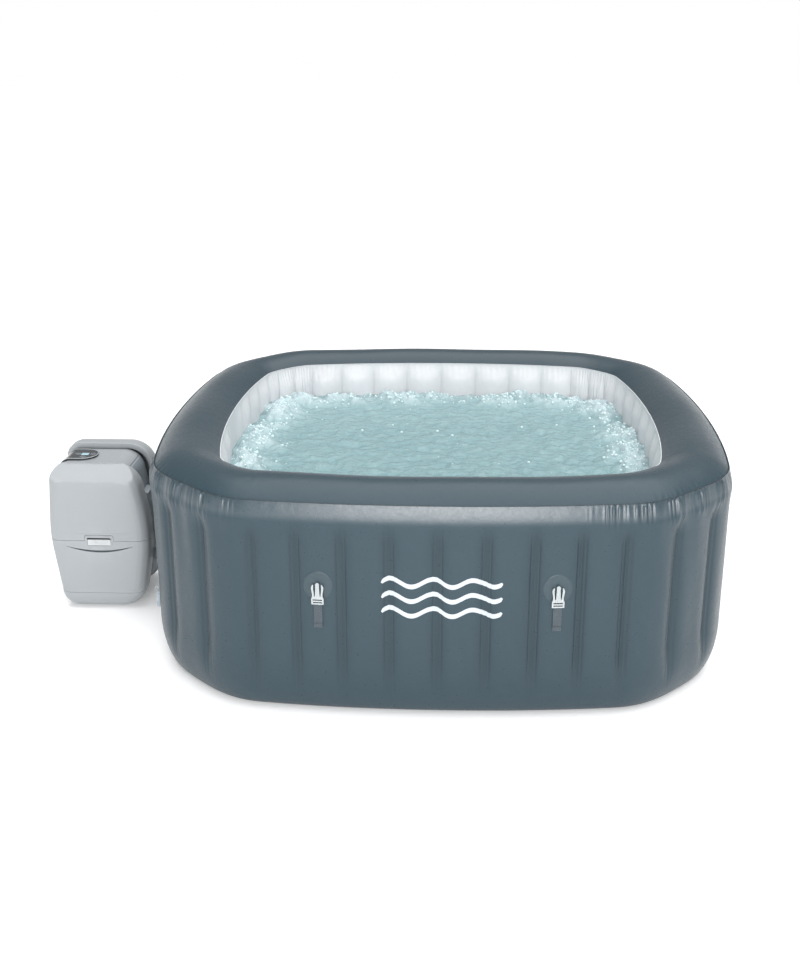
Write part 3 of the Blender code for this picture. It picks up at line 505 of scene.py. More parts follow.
def display(name, color):
    f = Finish(name, color, 0.12, coat=0.6)
    f.mottle(f.noise(60.0, 2.0), 0.5, tint(color, 0.8))
    f.mottle(f.waves(900.0, "X"), 0.15, tint(color, 0.6), 0.6, 0.9)
    f.vary_rough(f.noise(50.0), 0.04)
    f.bump(f.noise(40.0), 0.0001)
    return f.done()


def water_finish():
    """Pale turquoise water that whitens with its foam attribute."""
    f = Finish("water", (0.185, 0.320, 0.342), 0.10, 0.5)
    f.mottle(f.noise(5.0, 4.0), 0.6, (0.228, 0.368, 0.386))
    f.mottle(f.noise(30.0, 6.0, 0.7), 0.7, (0.275, 0.405, 0.420), 0.50, 0.72)
    f.mottle(f.attribute("foam"), 0.92, (0.50, 0.60, 0.63), 0.0, 1.0)
    f.mottle(f.noise(140.0, 6.0, 0.8), 0.55, (0.80, 0.88, 0.88), 0.60, 0.74)
    f.vary_rough(f.noise(60.0, 5.0), 0.07)
    f.bump(f.noise(60.0, 5.0, 0.65), 0.0030)
    f.bump(f.cells(170.0), 0.0016)
    return f.done()


def bubble_finish():
    f = Finish("bubbles", (0.70, 0.82, 0.83), 0.06, 0.8)
    f.mottle(f.noise(90.0, 4.0), 0.8, (0.52, 0.70, 0.72))
    f.vary_rough(f.noise(200.0), 0.04)
    f.bump(f.noise(300.0), 0.0002)
    return f.done()


GREY_VINYL = (0.030, 0.053, 0.068)
WHITE_VINYL = (0.72, 0.725, 0.745)
CASING = (0.315, 0.336, 0.352)

FINISHES = {
    "vinyl_grey": vinyl("vinyl_grey_skin", GREY_VINYL, 0.33, specular=0.30),
    "vinyl_white": vinyl("vinyl_white_skin", WHITE_VINYL, 0.42, 0.8),
    "webbing_grey": woven("webbing_weave", (0.070, 0.096, 0.114)),
    "buckle_white": moulded("buckle_plastic", (0.37, 0.40, 0.41), 0.34),
    "fitting_grey": moulded("fitting_plastic", (0.36, 0.41, 0.45), 0.40),
    "filter_white": pleated("filter_paper", (0.80, 0.81, 0.82)),
    "casing_grey": moulded("casing_plastic", CASING, 0.36),
    "band_grey": moulded("band_plastic", (0.235, 0.270, 0.295), 0.46),
    "latch_white": moulded("latch_plastic", (0.50, 0.52, 0.53), 0.32),
    "panel_dark": moulded("panel_plastic", (0.018, 0.022, 0.028), 0.22, 0.6, coat=0.4),
    "window_glass": display("display_glass", (0.42, 0.66, 0.74)),
    "button_grey": moulded("button_plastic", (0.10, 0.115, 0.13), 0.30),
    "machine_grey": moulded("machine_plastic", (0.06, 0.065, 0.07), 0.50),
    "steel": metal("steel_tube", (0.60, 0.60, 0.62), 0.28),
    "board_green": board("board_green", (0.02, 0.13, 0.06)),
}
# the seam bead is tinted darker: partly the weld's own colour, partly painted shade of the groove at the seam
SEAM_WELD_AND_SHADE = vinyl("seam_weld_and_painted_shade", tint(GREY_VINYL, 0.62), 0.45)
PATCH = vinyl("weld_patch", tint(GREY_VINYL, 0.97), 0.36, 0.7)
INK = vinyl("white_ink", (0.50, 0.54, 0.58), 0.48, 0.6)
WATER = water_finish()
BUBBLE = bubble_finish()


# ---------------------------------------------------------------- the tub's skins


def plan(station, half, bow=OUTER_BOW):
    """x and y of the bowed rounded square, for arrays of stations."""
    station = np.asarray(station, float) % RIB_COUNT
    half = np.broadcast_to(np.asarray(half, float), station.shape)
    side = np.floor(station / RIBS_PER_QUARTER).astype(int)
    along = station - side * RIBS_PER_QUARTER
    corner = along > RIBS_PER_SIDE
    angle = np.pi / 2 * np.clip(along - RIBS_PER_SIDE, 0, None) / RIBS_PER_CORNER
    reach = half - CORNER_CENTRE
    x = np.where(corner, CORNER_CENTRE + reach * np.sin(angle), -CORNER_CENTRE + along * RIB_PITCH)
    y = np.where(corner, -CORNER_CENTRE - reach * np.cos(angle), -half)
    wide = np.abs(x) + 1e-9
    deep = np.abs(y) + 1e-9
    nearer = (wide ** -16.0 + deep ** -16.0) ** (-1 / 16)
    pull = 1 - bow * (nearer / half) ** 2
    x = x * pull
    y = y * pull
    for turn in range(1, 4):
        x, y = np.where(side >= turn, -y, x), np.where(side >= turn, x, y)
    return x, y


def outward_at(station, half=TUB_HALF):
    """Unit outward direction of the plan at each station."""
    ahead = plan(np.asarray(station) + 0.02, half)
    behind = plan(np.asarray(station) - 0.02, half)
    along_x = ahead[0] - behind[0]
    along_y = ahead[1] - behind[1]
    length = np.hypot(along_x, along_y)
    return along_y / length, -along_x / length


def side_station(side, rib):
    return side * RIBS_PER_QUARTER + RIBS_PER_SIDE / 2 + rib


def columns(dense=52, plain=22, grooves=True):
    """Stations of the mesh's columns: closer at the corners, where the sheet gathers, and at each weld."""
    made = []
    for rib in range(RIB_COUNT):
        count = dense if rib % RIBS_PER_QUARTER in (0, 7, 8, 9, 10) else plain
        local = set(np.round(np.arange(count) / count, 4))
        if grooves:
            for shift in (0.06, 0.08, 0.10, 0.12, 0.14):
                local |= {round(shift, 4), round(1 - shift, 4)}
        kept = []
        for value in sorted(local):
            if not kept or value - kept[-1] > 0.008:
                kept.append(value)
        made += [rib + value for value in kept]
    return np.array(made)


def level_ring(station, half, z, bow=OUTER_BOW, share=1.0):
    """Points of the plan at height z, drawn towards the tub's middle by share."""
    x, y = plan(station, half, bow)
    return np.stack([x * share, y * share, np.broadcast_to(z, x.shape)], axis=-1)


def corner_share(station):
    """1 in the middle of each rounded corner and 0 along the sides."""
    along = (np.asarray(station) + 1.0) % RIBS_PER_QUARTER
    rise = smooth_step(7.9, 9.2, along) * (1 - smooth_step(10.7, 11.0, along))
    return rise + (1 - smooth_step(0.0, 1.0, along))


def rib_change(station, seed):
    """A steady small difference from one rib to the next."""
    return 0.5 + 0.5 * np.sin(12.9898 * np.floor(station) + 4.1 * seed)


def pleats(station):
    """Phase and depth of the uneven pleats of a gathered sheet."""
    phase = 2 * np.pi * station * PLEATS_PER_STATION
    return phase, np.sin(phase + 1.3 * np.sin(phase / 3.7) + 0.6 * np.sin(phase / 1.9))


def outer_inset(station, z):
    """How far the outer wall's surface lies inside its crest line."""
    foot = np.clip((FOOT_HEIGHT - z) / FOOT_HEIGHT, 0, 1)
    inset = FOOT_INSET * (1 - np.sqrt(1 - foot ** 2))
    shoulder = np.clip((z - EQUATOR_Z) / (SEAM_Z - EQUATOR_Z), 0, 1)
    inset = inset + SHOULDER_INSET * shoulder ** 1.6
    swell = np.clip((z - (EQUATOR_Z - 0.06)) / (SEAM_Z - EQUATOR_Z + 0.06), 0, 1)
    inset = inset - SHOULDER_SWELL * np.sin(np.pi / 2 * swell) ** 2
    apart = np.abs(station - np.round(station))
    valley = (1 - np.sin(np.pi * apart)) ** 2.0
    weld_line = np.exp(-((apart - 0.085) / 0.018) ** 2)
    ribs = smooth_step(0.05, 0.19, z) * (1 - smooth_step(0.52, 0.600, z))
    depth = 1.75 * RIB_DEPTH * (0.8 + 0.4 * rib_change(station + 0.5, 1))
    inset = inset + (depth * valley + 0.0020 * weld_line) * ribs
    below_seam = np.clip(SEAM_Z - z, 0, 1)
    gather = smooth_step(0.0, 0.010, below_seam) * (1 - smooth_step(0.020, 0.085, below_seam))
    phase, fold = pleats(station)
    uneven = 0.55 + 0.45 * np.sin(phase / 5.3 + 1.0)
    inset = inset - 0.0062 * corner_share(station) * gather * uneven * (np.clip(fold, -0.5, 1) + 0.2)
    drag = smooth_step(0.0, 0.03, below_seam) * (1 - smooth_step(0.05, 0.30, below_seam))
    inset = inset + 0.0015 * corner_share(station) * drag * np.sin(phase / 4.1 + 3 * z)
    return inset


def wall_surface(station, z, proud=0.0):
    """Points on the outer wall, moved out by proud."""
    station = np.asarray(station, float)
    z = np.asarray(z, float) + 0 * station
    bow = FOOT_BOW + (OUTER_BOW - FOOT_BOW) * np.clip(z / FOOT_HEIGHT, 0, 1)
    x, y = plan(station, TUB_HALF - outer_inset(station, z) + proud, bow)
    return np.stack([x, y, z], axis=-1)


def outer_wall():
    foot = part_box("outer_wall")[0].z
    low = foot + (FOOT_HEIGHT - foot) * (1 - np.cos(np.linspace(0, np.pi / 2, 12)))
    middle = np.linspace(FOOT_HEIGHT, EQUATOR_Z - 0.05, 8)[1:]
    high = SEAM_Z - (SEAM_Z - middle[-1]) * (1 - np.linspace(0, 1, 22)[1:]) ** 1.35
    heights = np.concatenate([low, middle, high])
    station, z = np.meshgrid(columns(), heights)
    obj = grid("outer_wall_skin", wall_surface(station, z), FINISHES["vinyl_grey"])
    apart = np.abs(station - np.round(station))
    ribs = smooth_step(0.04, 0.20, z) * (1 - smooth_step(0.53, 0.600, z))
    # painted shade for the rib valleys, read by the vinyl finish through the weld attribute
    painted_valley_shade = np.exp(-(apart / 0.15) ** 2) * ribs
    taut = smooth_step(EQUATOR_Z + 0.010, EQUATOR_Z + 0.032, z) * np.ones_like(painted_valley_shade)
    for layer, values in (("weld", painted_valley_shade), ("taut", taut)):
        shown = obj.data.attributes.new(layer, "FLOAT", "POINT")
        shown.data.foreach_set("value", values.ravel().astype(np.float32))
    stand_for(obj, "outer_wall")


def rim_section(t):
    """Half-size and height of the rim's arch, from the outer seam at 0 to the inner at 1."""
    outer = TUB_HALF - SEAM_INSET
    chord = outer - OPENING_HALF
    drop = (RIM_TOP - SEAM_Z + RIM_TOP - INNER_SEAM_Z) / 2
    radius = (chord * chord / 4 + drop * drop) / (2 * drop)
    reach = math.asin(chord / 2 / radius)
    angle = reach * (1 - 2 * t)
    half = OPENING_HALF + chord / 2 + radius * np.sin(angle)
    across = 2 * (half - OPENING_HALF - chord / 2) / chord
    arch = radius * (np.cos(angle) - math.cos(reach))
    crown = drop * (1 - across ** 2)
    base = SEAM_Z + (INNER_SEAM_Z - SEAM_Z) * t
    return half, base + 0.35 * arch + 0.65 * crown


def top_rim():
    share = 0.5 - 0.5 * np.cos(np.pi * np.linspace(0, 1, 25))
    station, t = np.meshgrid(columns(32, 18, grooves=False), share)
    half, z = rim_section(t)
    phase, fold = pleats(station)
    near_outer = smooth_step(0.0, 0.02, t) * (1 - smooth_step(0.03, 0.16, t))
    z = z + 0.0007 * corner_share(station) * near_outer * fold
    near_inner = smooth_step(0.80, 0.95, t) * (1 - smooth_step(0.985, 1.0, t))
    patchy = np.clip(np.sin(0.9 * station + 0.5) + 0.3 * np.sin(2.3 * station), 0, 1)
    z = z + 0.0009 * near_inner * patchy * np.sin(2.1 * phase)
    z = z + 0.0012 * np.sin(1.7 * station) * np.sin(np.pi * t) - 0.0012
    obj = grid("top_rim_skin", level_ring(station, half, z), FINISHES["vinyl_grey"])
    stand_for(obj, "top_rim")


def liner_bulge(station, z, x, y):
    """How far the liner swells into the tub between its welds."""
    apart = np.abs(station - np.round(station))
    pillow = np.sin(np.pi * apart) ** 0.62
    top = smooth_step(0.0, 0.075, INNER_SEAM_Z - z)
    foot = smooth_step(0.0, 0.10, z)
    corner = corner_share(station)
    ports = 1 - np.exp(-((y + 0.015) / 0.10) ** 4) * (x < 0)
    lean = 0.35 * np.sin(3.1 * station + 7 * z)
    size = 0.0150 + 0.004 * rib_change(station, 2)
    crease = np.exp(-((apart - 0.5 + 0.12 * np.sin(9 * z + 2 * np.floor(station))) / 0.05) ** 2)
    bulge = size * pillow * (1 + 0.12 * lean) - 0.0035 * corner * crease
    return bulge * top * foot * ports


def inner_liner():
    low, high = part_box("inner_liner")
    heights = low.z + (high.z - low.z) * (1 - (1 - np.linspace(0, 1, 34)) ** 1.5)
    station, z = np.meshgrid(columns(34, 24, grooves=False), heights)
    x, y = plan(station, OPENING_HALF)
    half = OPENING_HALF - liner_bulge(station, z, x, y)
    below_seam = np.clip(INNER_SEAM_Z - z, 0, 1)
    phase = 2 * np.pi * station
    gather = smooth_step(0.0, 0.012, below_seam) * (1 - smooth_step(0.02, 0.10, below_seam))
    fold = np.sin(6.3 * phase + np.sin(1.7 * phase))
    half = half - 0.0016 * gather * fold * (0.3 + 0.7 * corner_share(station))
    obj = grid("inner_liner_skin", level_ring(station, half, z), FINISHES["vinyl_white"], flip=True)
    stand_for(obj, "inner_liner")


def wall_webs():
    """The webs that tie the two walls together at each valley."""
    across = np.linspace(0, 1, 7)
    heights = np.linspace(BEAM_LOW, BEAM_HIGH, 9)
    for side in range(4):
        parts = []
        for rib in range(RIBS_PER_QUARTER):
            if side == 3 and rib == RIBS_PER_SIDE // 2:
                continue
            station = np.array(float(side * RIBS_PER_QUARTER + rib))
            share, z = np.meshgrid(across, heights)
            outer = TUB_HALF - outer_inset(station, z) - 0.004
            half = OPENING_HALF + 0.003 + (outer - OPENING_HALF - 0.003) * share
            slack = 0.02 * np.sin(np.pi * share) * np.sin(3 * z + rib)
            sheet = level_ring(station + slack, half, z)
            parts.append(grid("web", sheet, FINISHES["vinyl_white"], closed=False))
        webs = join_into(parts[0], parts[1:])
        webs.name = "wall_webs_" + SIDES[side]
        stand_for(thicken(webs, 0.0016, 0.0), "wall_beams_" + SIDES[side])


def seam_bead(name, half, z, radius, finish):
    """A welded lip that runs right round."""
    stations = columns(32, 18, grooves=False)
    rows = [level_ring(stations, half + radius * math.cos(angle), z + 0.8 * radius * math.sin(angle))
            for angle in 2 * np.pi * np.arange(9) / 8]
    return belong(grid(name, np.array(rows), finish), "root")


def floor_and_channel():
    """The floor sheet, the ring under the air chamber and the air channel against the liner."""
    stations = np.arange(RIB_COUNT * 12) / 12

    def sheet_for(node, rows, slot, thickness, flip=False):
        obj = grid(node + "_skin", np.array(rows), FINISHES[slot], flip=flip)
        stand_for(thicken(obj, thickness), node)

    low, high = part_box("tub_floor")
    rows = []
    for share in (1.0, 0.9, 0.75, 0.55, 0.35, 0.15, 0.02):
        z = high.z - 0.0006 + 0.0006 * np.cos(2 * np.pi * share * 3)
        rows.append(level_ring(stations, OPENING_HALF - 0.002, z, share=share))
    sheet_for("tub_floor", rows, "vinyl_white", high.z - low.z - 0.0012)
    rows = [level_ring(stations, OPENING_HALF + (TUB_HALF - FOOT_INSET - OPENING_HALF) * share, SHEET,
                       OUTER_BOW + (FOOT_BOW - OUTER_BOW) * share) for share in np.linspace(0, 1, 6)]
    sheet_for("chamber_base", rows, "vinyl_grey", SHEET, flip=True)
    low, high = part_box("bubble_channel")
    puff = 1 - 0.05 * (0.5 + 0.5 * np.cos(4 * np.pi * stations))
    rows = []
    for angle in np.linspace(0, np.pi, 15):
        half = OPENING_HALF - 0.0022 - 0.080 * (1 - math.cos(angle)) / 2
        rows.append(level_ring(stations, half, low.z + (high.z - low.z) * math.sin(angle) * puff))
    sheet_for("bubble_channel", rows, "vinyl_white", SHEET)


# ---------------------------------------------------------------- water


def foam_places():
    """Where the air jets push foam up along the walls: (x, y, radius, height)."""
    picks = random.Random(11)
    made = []
    for station in np.arange(0, RIB_COUNT, 0.55):
        side = int(station // RIBS_PER_QUARTER)
        front = side == 0 and station % RIBS_PER_QUARTER < RIBS_PER_SIDE
        height = picks.uniform(0.008, 0.046) * (0.3 if front else 1.0)
        inset = picks.uniform(0.045, 0.085)
        x, y = plan(np.array([station]), OPENING_HALF - inset)
        made.append((float(x[0]), float(y[0]), picks.uniform(0.045, 0.075), height))
    return made


def ripples(x, y, *layers):
    """Smooth noise over the water: each layer is its pitch, its level in the noise and its share."""
    made = []
    for px, py in zip(x.flat, y.flat):
        made.append(sum(share * noise.noise(Vector((px * pitch, py * pitch, level)))
                        for pitch, level, share in layers))
    return np.array(made).reshape(x.shape)


def water():
    step = 0.0058
    reach = OPENING_HALF + step
    line = np.arange(-reach, reach + step, step)
    x, y = np.meshgrid(line, line)
    edge_x, edge_y = plan(np.linspace(0, RIB_COUNT, RIB_COUNT * 24, endpoint=False), OPENING_HALF - 0.001)
    turn = np.arctan2(edge_y, edge_x)
    order = np.argsort(turn)
    limit = np.interp(np.arctan2(y, x), turn[order], np.hypot(edge_x, edge_y)[order], period=2 * np.pi)
    from_wall = limit - np.hypot(x, y)
    foam = np.zeros_like(x)
    lift = np.zeros_like(x)
    for fx, fy, radius, height in foam_places():
        near = np.exp(-((x - fx) ** 2 + (y - fy) ** 2) / radius ** 2)
        lift = np.maximum(lift, height * near)
        foam = np.maximum(foam, near * (0.4 + height * 18))
    swell = ripples(x, y, (4, 3.0, 1.0))
    rough = ripples(x, y, (19, 7.0, 1.0), (41, 1.0, 0.5))
    fine = ripples(x, y, (95, 5.0, 1.0))
    foam = np.clip(foam * (0.75 + 0.9 * rough) + 0.10 * np.clip(rough, 0, 1), 0, 1)
    z = WATER_Z + 0.007 * swell + 0.0075 * rough + 0.0024 * fine + lift * (0.8 + 0.5 * rough)
    z = z + 0.004 * fine * foam
    keep = from_wall > -step * 1.3
    index = -np.ones(x.shape, int)
    index[keep] = np.arange(keep.sum())
    quads = np.stack([index[:-1, :-1], index[:-1, 1:], index[1:, 1:], index[1:, :-1]], axis=-1).reshape(-1, 4)
    quads = quads[(quads >= 0).all(axis=1)]
    mesh = bpy.data.meshes.new("water")
    mesh.from_pydata(np.stack([x, y, z], axis=-1)[keep].tolist(), [], quads.tolist())
    mesh.attributes.new("foam", "FLOAT", "POINT").data.foreach_set("value", foam[keep].astype(np.float32))
    belong(link("water", mesh, WATER), "root")
    bubbles(x[keep], y[keep], z[keep], foam[keep], from_wall[keep])


def bubbles(x, y, z, foam, from_wall):
    """Small domes of air that ride on the foam."""
    picks = np.random.default_rng(5)
    weight = np.clip(foam, 0.02, 1) ** 1.6 * (from_wall > 0.012)
    chosen = picks.choice(len(x), 1500, replace=False, p=weight / weight.sum())
    dome = bmesh.new()
    bmesh.ops.create_icosphere(dome, subdivisions=2, radius=1.0)
    unit = np.array([v.co for v in dome.verts])
    faces = np.array([[v.index for v in f.verts] for f in dome.faces])
    dome.free()
    points = []
    triangles = []
    for count, i in enumerate(chosen):
        size = 0.0018 + 0.0042 * picks.random() ** 2.2
        points.append(unit * size + (x[i], y[i], z[i] + 0.2 * size))
        triangles.append(faces + count * len(unit))
    mesh = bpy.data.meshes.new("bubbles")
    mesh.from_pydata(np.concatenate(points).tolist(), [], np.concatenate(triangles).tolist())
    belong(link("bubbles", mesh, BUBBLE), "root")


# ---------------------------------------------------------------- straps and marks


def weld_patch(name, station, z, radius=0.043):
    """A round patch welded on the wall, following its curve."""
    rings = [(0.0, 0.0010), (0.3, 0.0010), (0.6, 0.0010), (0.85, 0.0010), (0.94, 0.0009), (0.985, 0.0006),
             (1.0, 0.0)]
    angles = 2 * np.pi * np.arange(64) / 64
    rows = []
    for share, proud in rings:
        along = station + share * radius * np.cos(angles) / RIB_PITCH
        rows.append(wall_surface(along, z + share * radius * np.sin(angles), proud))
    obj = grid(name, np.array(rows), PATCH, flip=True)
    weld(obj.data)
    return belong(obj, "root")


def ribbon_mark(name, low, high, z, stroke, swing, wave_length):
    """A printed wave line on the front wall."""
    u = np.linspace(low, high, 90)
    ends = np.clip(np.minimum(u - low, high - u) / (stroke / 2), 0, 1)
    width = stroke / 2 * np.sqrt(1 - (1 - ends) ** 2)
    middle = z + swing * np.sin(2 * np.pi * (u - low) / wave_length)
    rows = [wall_surface(side_station(0, u / RIB_PITCH), middle + share * width, 0.0006)
            for share in (-1, -0.5, 0, 0.5, 1)]
    return belong(grid(name, np.array(rows), INK, closed=False), "root")


def buckle_shape():
    """Outline of the plug half of a side-release buckle and its two slots; its bar is at the origin."""
    half = 0.0175
    foot = 0.017
    top = 0.062
    right = [(half, -0.002)]
    right += [(half - inward, foot + up) for inward, up in (
        (0, -0.001), (0.0022, 0.002), (0.0030, 0.010), (0.0016, 0.020), (0.0002, 0.028),
        (0.0008, 0.034), (0.0040, 0.0395), (0.0068, 0.039), (0.0062, 0.028), (0.0078, 0.014),
        (0.0088, 0.004), (0.0108, 0.005))]
    right += [(half - 0.0125, top - 0.009), (half - 0.0118, top - 0.004), (half - 0.0148, top)]
    edge = rounded(right + [(-x, y) for x, y in reversed(right)], 0.0012, 3)
    return [edge] + [rounded(oblong(0.013, low, low + 0.0035), 0.0008, 2) for low in (0.002, 0.0095)]


def tape(name, path, width, thickness, finish, matrix):
    """A flat tape whose side view follows path, as (out, up) points, in matrix's frame."""
    path = np.array(path, float)
    along = np.concatenate([[0], np.cumsum(np.hypot(*np.diff(path, axis=0).T))])
    fine = np.linspace(0, along[-1], 64)
    line = np.stack([np.interp(fine, along, path[:, k]) for k in range(2)], axis=1)
    ahead = np.gradient(line, axis=0)
    ahead /= np.linalg.norm(ahead, axis=1, keepdims=True)
    side = np.stack([-ahead[:, 1], ahead[:, 0]], axis=1)
    section = rounded(oblong(width / 2, -thickness / 2, thickness / 2), thickness * 0.4, 2)
    rows = [[(p[0], centre[1] + normal[1] * p[1], centre[0] + normal[0] * p[1]) for p in section]
            for centre, normal in zip(line, side)]
    obj = grid(name, np.array(rows), finish, sharp=60)
    bm = bmesh.new()
    bm.from_mesh(obj.data)
    bmesh.ops.holes_fill(bm, edges=[e for e in bm.edges if e.is_boundary])
    bmesh.ops.recalc_face_normals(bm, faces=bm.faces)
    bm.to_mesh(obj.data)
    bm.free()
    obj.matrix_world = matrix
    return obj, float(along[-1])


def outward_vector(station):
    x, y = outward_at(np.array([station]))
    return Vector((float(x[0]), float(y[0]), 0))


def strap(side, rib, node_end):
    """One cover strap: weld patch, buckle, webbing tail and the tail's stitches."""
    name = SIDES[side] + "_" + node_end
    station = side_station(side, rib)
    bar = middle_of("buckle_" + name, z=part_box("buckle_" + name)[0].z + 0.002)
    matrix = axes_at(bar, outward_vector(station))
    weld_patch("strap_patch_" + name, station, bar.z + 0.050)
    buckle = plate("buckle_skin_" + name, buckle_shape(), 0.0024, "buckle_white", 0.0007, matrix)
    rib_outline = rounded([(-0.0024, 0.014), (0.0024, 0.014), (0.0016, 0.059), (-0.0016, 0.059)], 0.001, 2)
    join_into(buckle, [plate("spine", [rib_outline], 0.0034, "buckle_white", 0.0008, matrix)])
    stand_for(buckle, "buckle_" + name)
    path = [(0.0008, 0.0045), (-0.0015, 0.0048), (-0.0034, 0.0040), (-0.0041, 0.0020), (-0.0041, -0.030),
            (-0.0041, -0.0725), (-0.0036, -0.0736), (-0.0029, -0.0736), (-0.0024, -0.0725),
            (-0.0024, -0.0605)]
    webbing, length = tape("webbing_skin_" + name, path, WEBBING_WIDTH, 0.0012, FINISHES["webbing_grey"],
                           matrix)
    stand_for(webbing, "webbing_" + name)
    stitches = stitch_rows("webbing_stitch_" + name, matrix)
    belong(stitches, NODE_BODY["webbing_" + name])


def join_into(obj, others):
    """Make others part of obj's mesh."""
    bm = bmesh.new()
    bm.from_mesh(obj.data)
    for other in others:
        mesh = other.data.copy()
        mesh.transform(obj.matrix_world.inverted() @ other.matrix_world)
        bm.from_mesh(mesh)
        bpy.data.objects.remove(other)
    bm.to_mesh(obj.data)
    bm.free()
    obj.data.shade_smooth()
    obj.data.set_sharp_from_angle(angle=math.radians(50))
    return obj


def stitch_rows(name, matrix):
    """Two rows of thread across the folded end."""
    points = []
    faces = []
    across = np.linspace(-0.0105, 0.0105, 7)
    ring = 6
    for low in (-0.0625, -0.0705):
        for start, end in zip(across[:-1], across[1:]):
            for k, share in enumerate(np.linspace(0, 1, 5)):
                x = start + (end - start) * (0.08 + 0.84 * share)
                rise = 0.0003 * math.sin(math.pi * share) - 0.00012
                for j in range(ring):
                    turn = 2 * math.pi * j / ring
                    points.append((x, low + THREAD * math.cos(turn),
                                   -0.0018 + rise + THREAD * math.sin(turn)))
                if k:
                    base = len(points) - 2 * ring
                    faces += [(base + j, base + (j + 1) % ring, base + ring + (j + 1) % ring, base + ring + j)
                              for j in range(ring)]
    mesh = bpy.data.meshes.new(name)
    mesh.from_pydata(points, [], faces)
    obj = link(name, mesh, FINISHES["webbing_grey"])
    obj.matrix_world = matrix
    return obj


def straps_and_marks():
    for side in range(4):
        strap(side, -2.5, SIDES[side - 1])
        strap(side, 2.5, SIDES[(side + 1) % 4])
    for i in range(3):
        ribbon_mark("wave_mark_%d" % (i + 1), -0.156, 0.180, 0.424 - 0.044 * i, 0.0140, 0.0105, 0.112)


# ---------------------------------------------------------------- valves and fittings


def valve(body_node, cap_node, rib, flange, cap_radius, cap_height, lobes):
    """A flanged valve on the left side with its screw cap."""
    outward = outward_vector(side_station(3, rib))
    base = middle_of(cap_node) - outward * (cap_height / 2 + 0.0046)
    neck = cap_radius - 0.0070
    lip = 0.0040 + cap_height - 0.004
    body = [(neck - 0.003, lip), (neck, lip), (neck, 0.0044), (flange - 0.006, 0.0044),
            (flange - 0.0015, 0.0036), (flange, 0.0022), (flange, 0.0006), (neck - 0.001, 0.0006),
            (neck - 0.001, -0.026), (neck - 0.004, -0.026), (neck - 0.004, lip), (neck - 0.003, lip)]
    turned_for(body_node, body, base, outward, "fitting_grey", 96)
    top = 0.0046 + cap_height
    lid = [(0.0, top - 0.0012), (cap_radius * 0.42, top - 0.0012), (cap_radius * 0.47, top - 0.0002),
           (cap_radius * 0.80, top), (cap_radius - 0.0022, top - 0.0004), (cap_radius - 0.0006, top - 0.0018),
           (cap_radius, top - 0.0032), (cap_radius, 0.0060), (cap_radius - 0.0004, 0.0048),
           (cap_radius - 0.0030, 0.0046), (cap_radius - 0.0030, top - 0.0034), (0.0, top - 0.0034)]
    turned_for(cap_node, lid, base, outward, "fitting_grey", lobes * 6, lobes, 0.0011, (6, 7))
    return base, outward


def tether(base, outward):
    """The drain cap's moulded loop."""
    lift = middle_of("drain_tether").z - base.z
    steps = 40
    loop = []
    for i in range(steps + 1):
        angle = math.radians(-150 + 300 * i / steps)
        loop.append((0, lift + 0.0065 * math.cos(angle), 0.0125 + 0.0065 * math.sin(angle)))
    mesh = curve_mesh([loop], closed=False, bevel_depth=0.00105, bevel_resolution=4, use_fill_caps=True)
    obj = link("drain_tether_skin", mesh, FINISHES["fitting_grey"])
    obj.matrix_world = axes_at(base, outward)
    stand_for(obj, "drain_tether")


def through_fittings():
    """Flanges and collars on the pump side, and the lobed union nuts that hold the pump's spigots."""
    for name in FITTINGS:
        inner = -(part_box(name)[1].x + TUB_HALF)
        profile = [(0.0240, 0.025), (0.0240, 0.0050), (0.0300, 0.0046), (0.0385, 0.0041), (0.040, 0.0028),
                   (0.040, 0.0006), (0.0220, 0.0006), (0.0220, inner + 0.0035), (0.0395, inner + 0.0035),
                   (0.040, inner + 0.0028), (0.0388, inner + 0.0004), (0.0360, inner), (0.0160, inner),
                   (0.0160, 0.025), (0.0240, 0.025)]
        turned_for(name, profile, middle_of(name, x=-TUB_HALF), (-1, 0, 0), "fitting_grey", 96)
    for name in ("outlet_union_nut", "inlet_union_nut", "air_union_nut"):
        low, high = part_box(name)
        half = (high.x - low.x) / 2
        profile = [(0.0262, half), (0.0300, half), (0.0318, half - 0.0010), (0.0325, half - 0.0030),
                   (0.0325, 0.002), (0.0325, -half + 0.0030), (0.0318, -half + 0.0010), (0.0300, -half),
                   (0.0262, -half), (0.0251, -half + 0.001), (0.0251, half - 0.001), (0.0262, half)]
        turned_for(name, profile, middle_of(name), (-1, 0, 0), "fitting_grey", 128, 8, 0.0034,
                   (2, 3, 4, 5, 6))


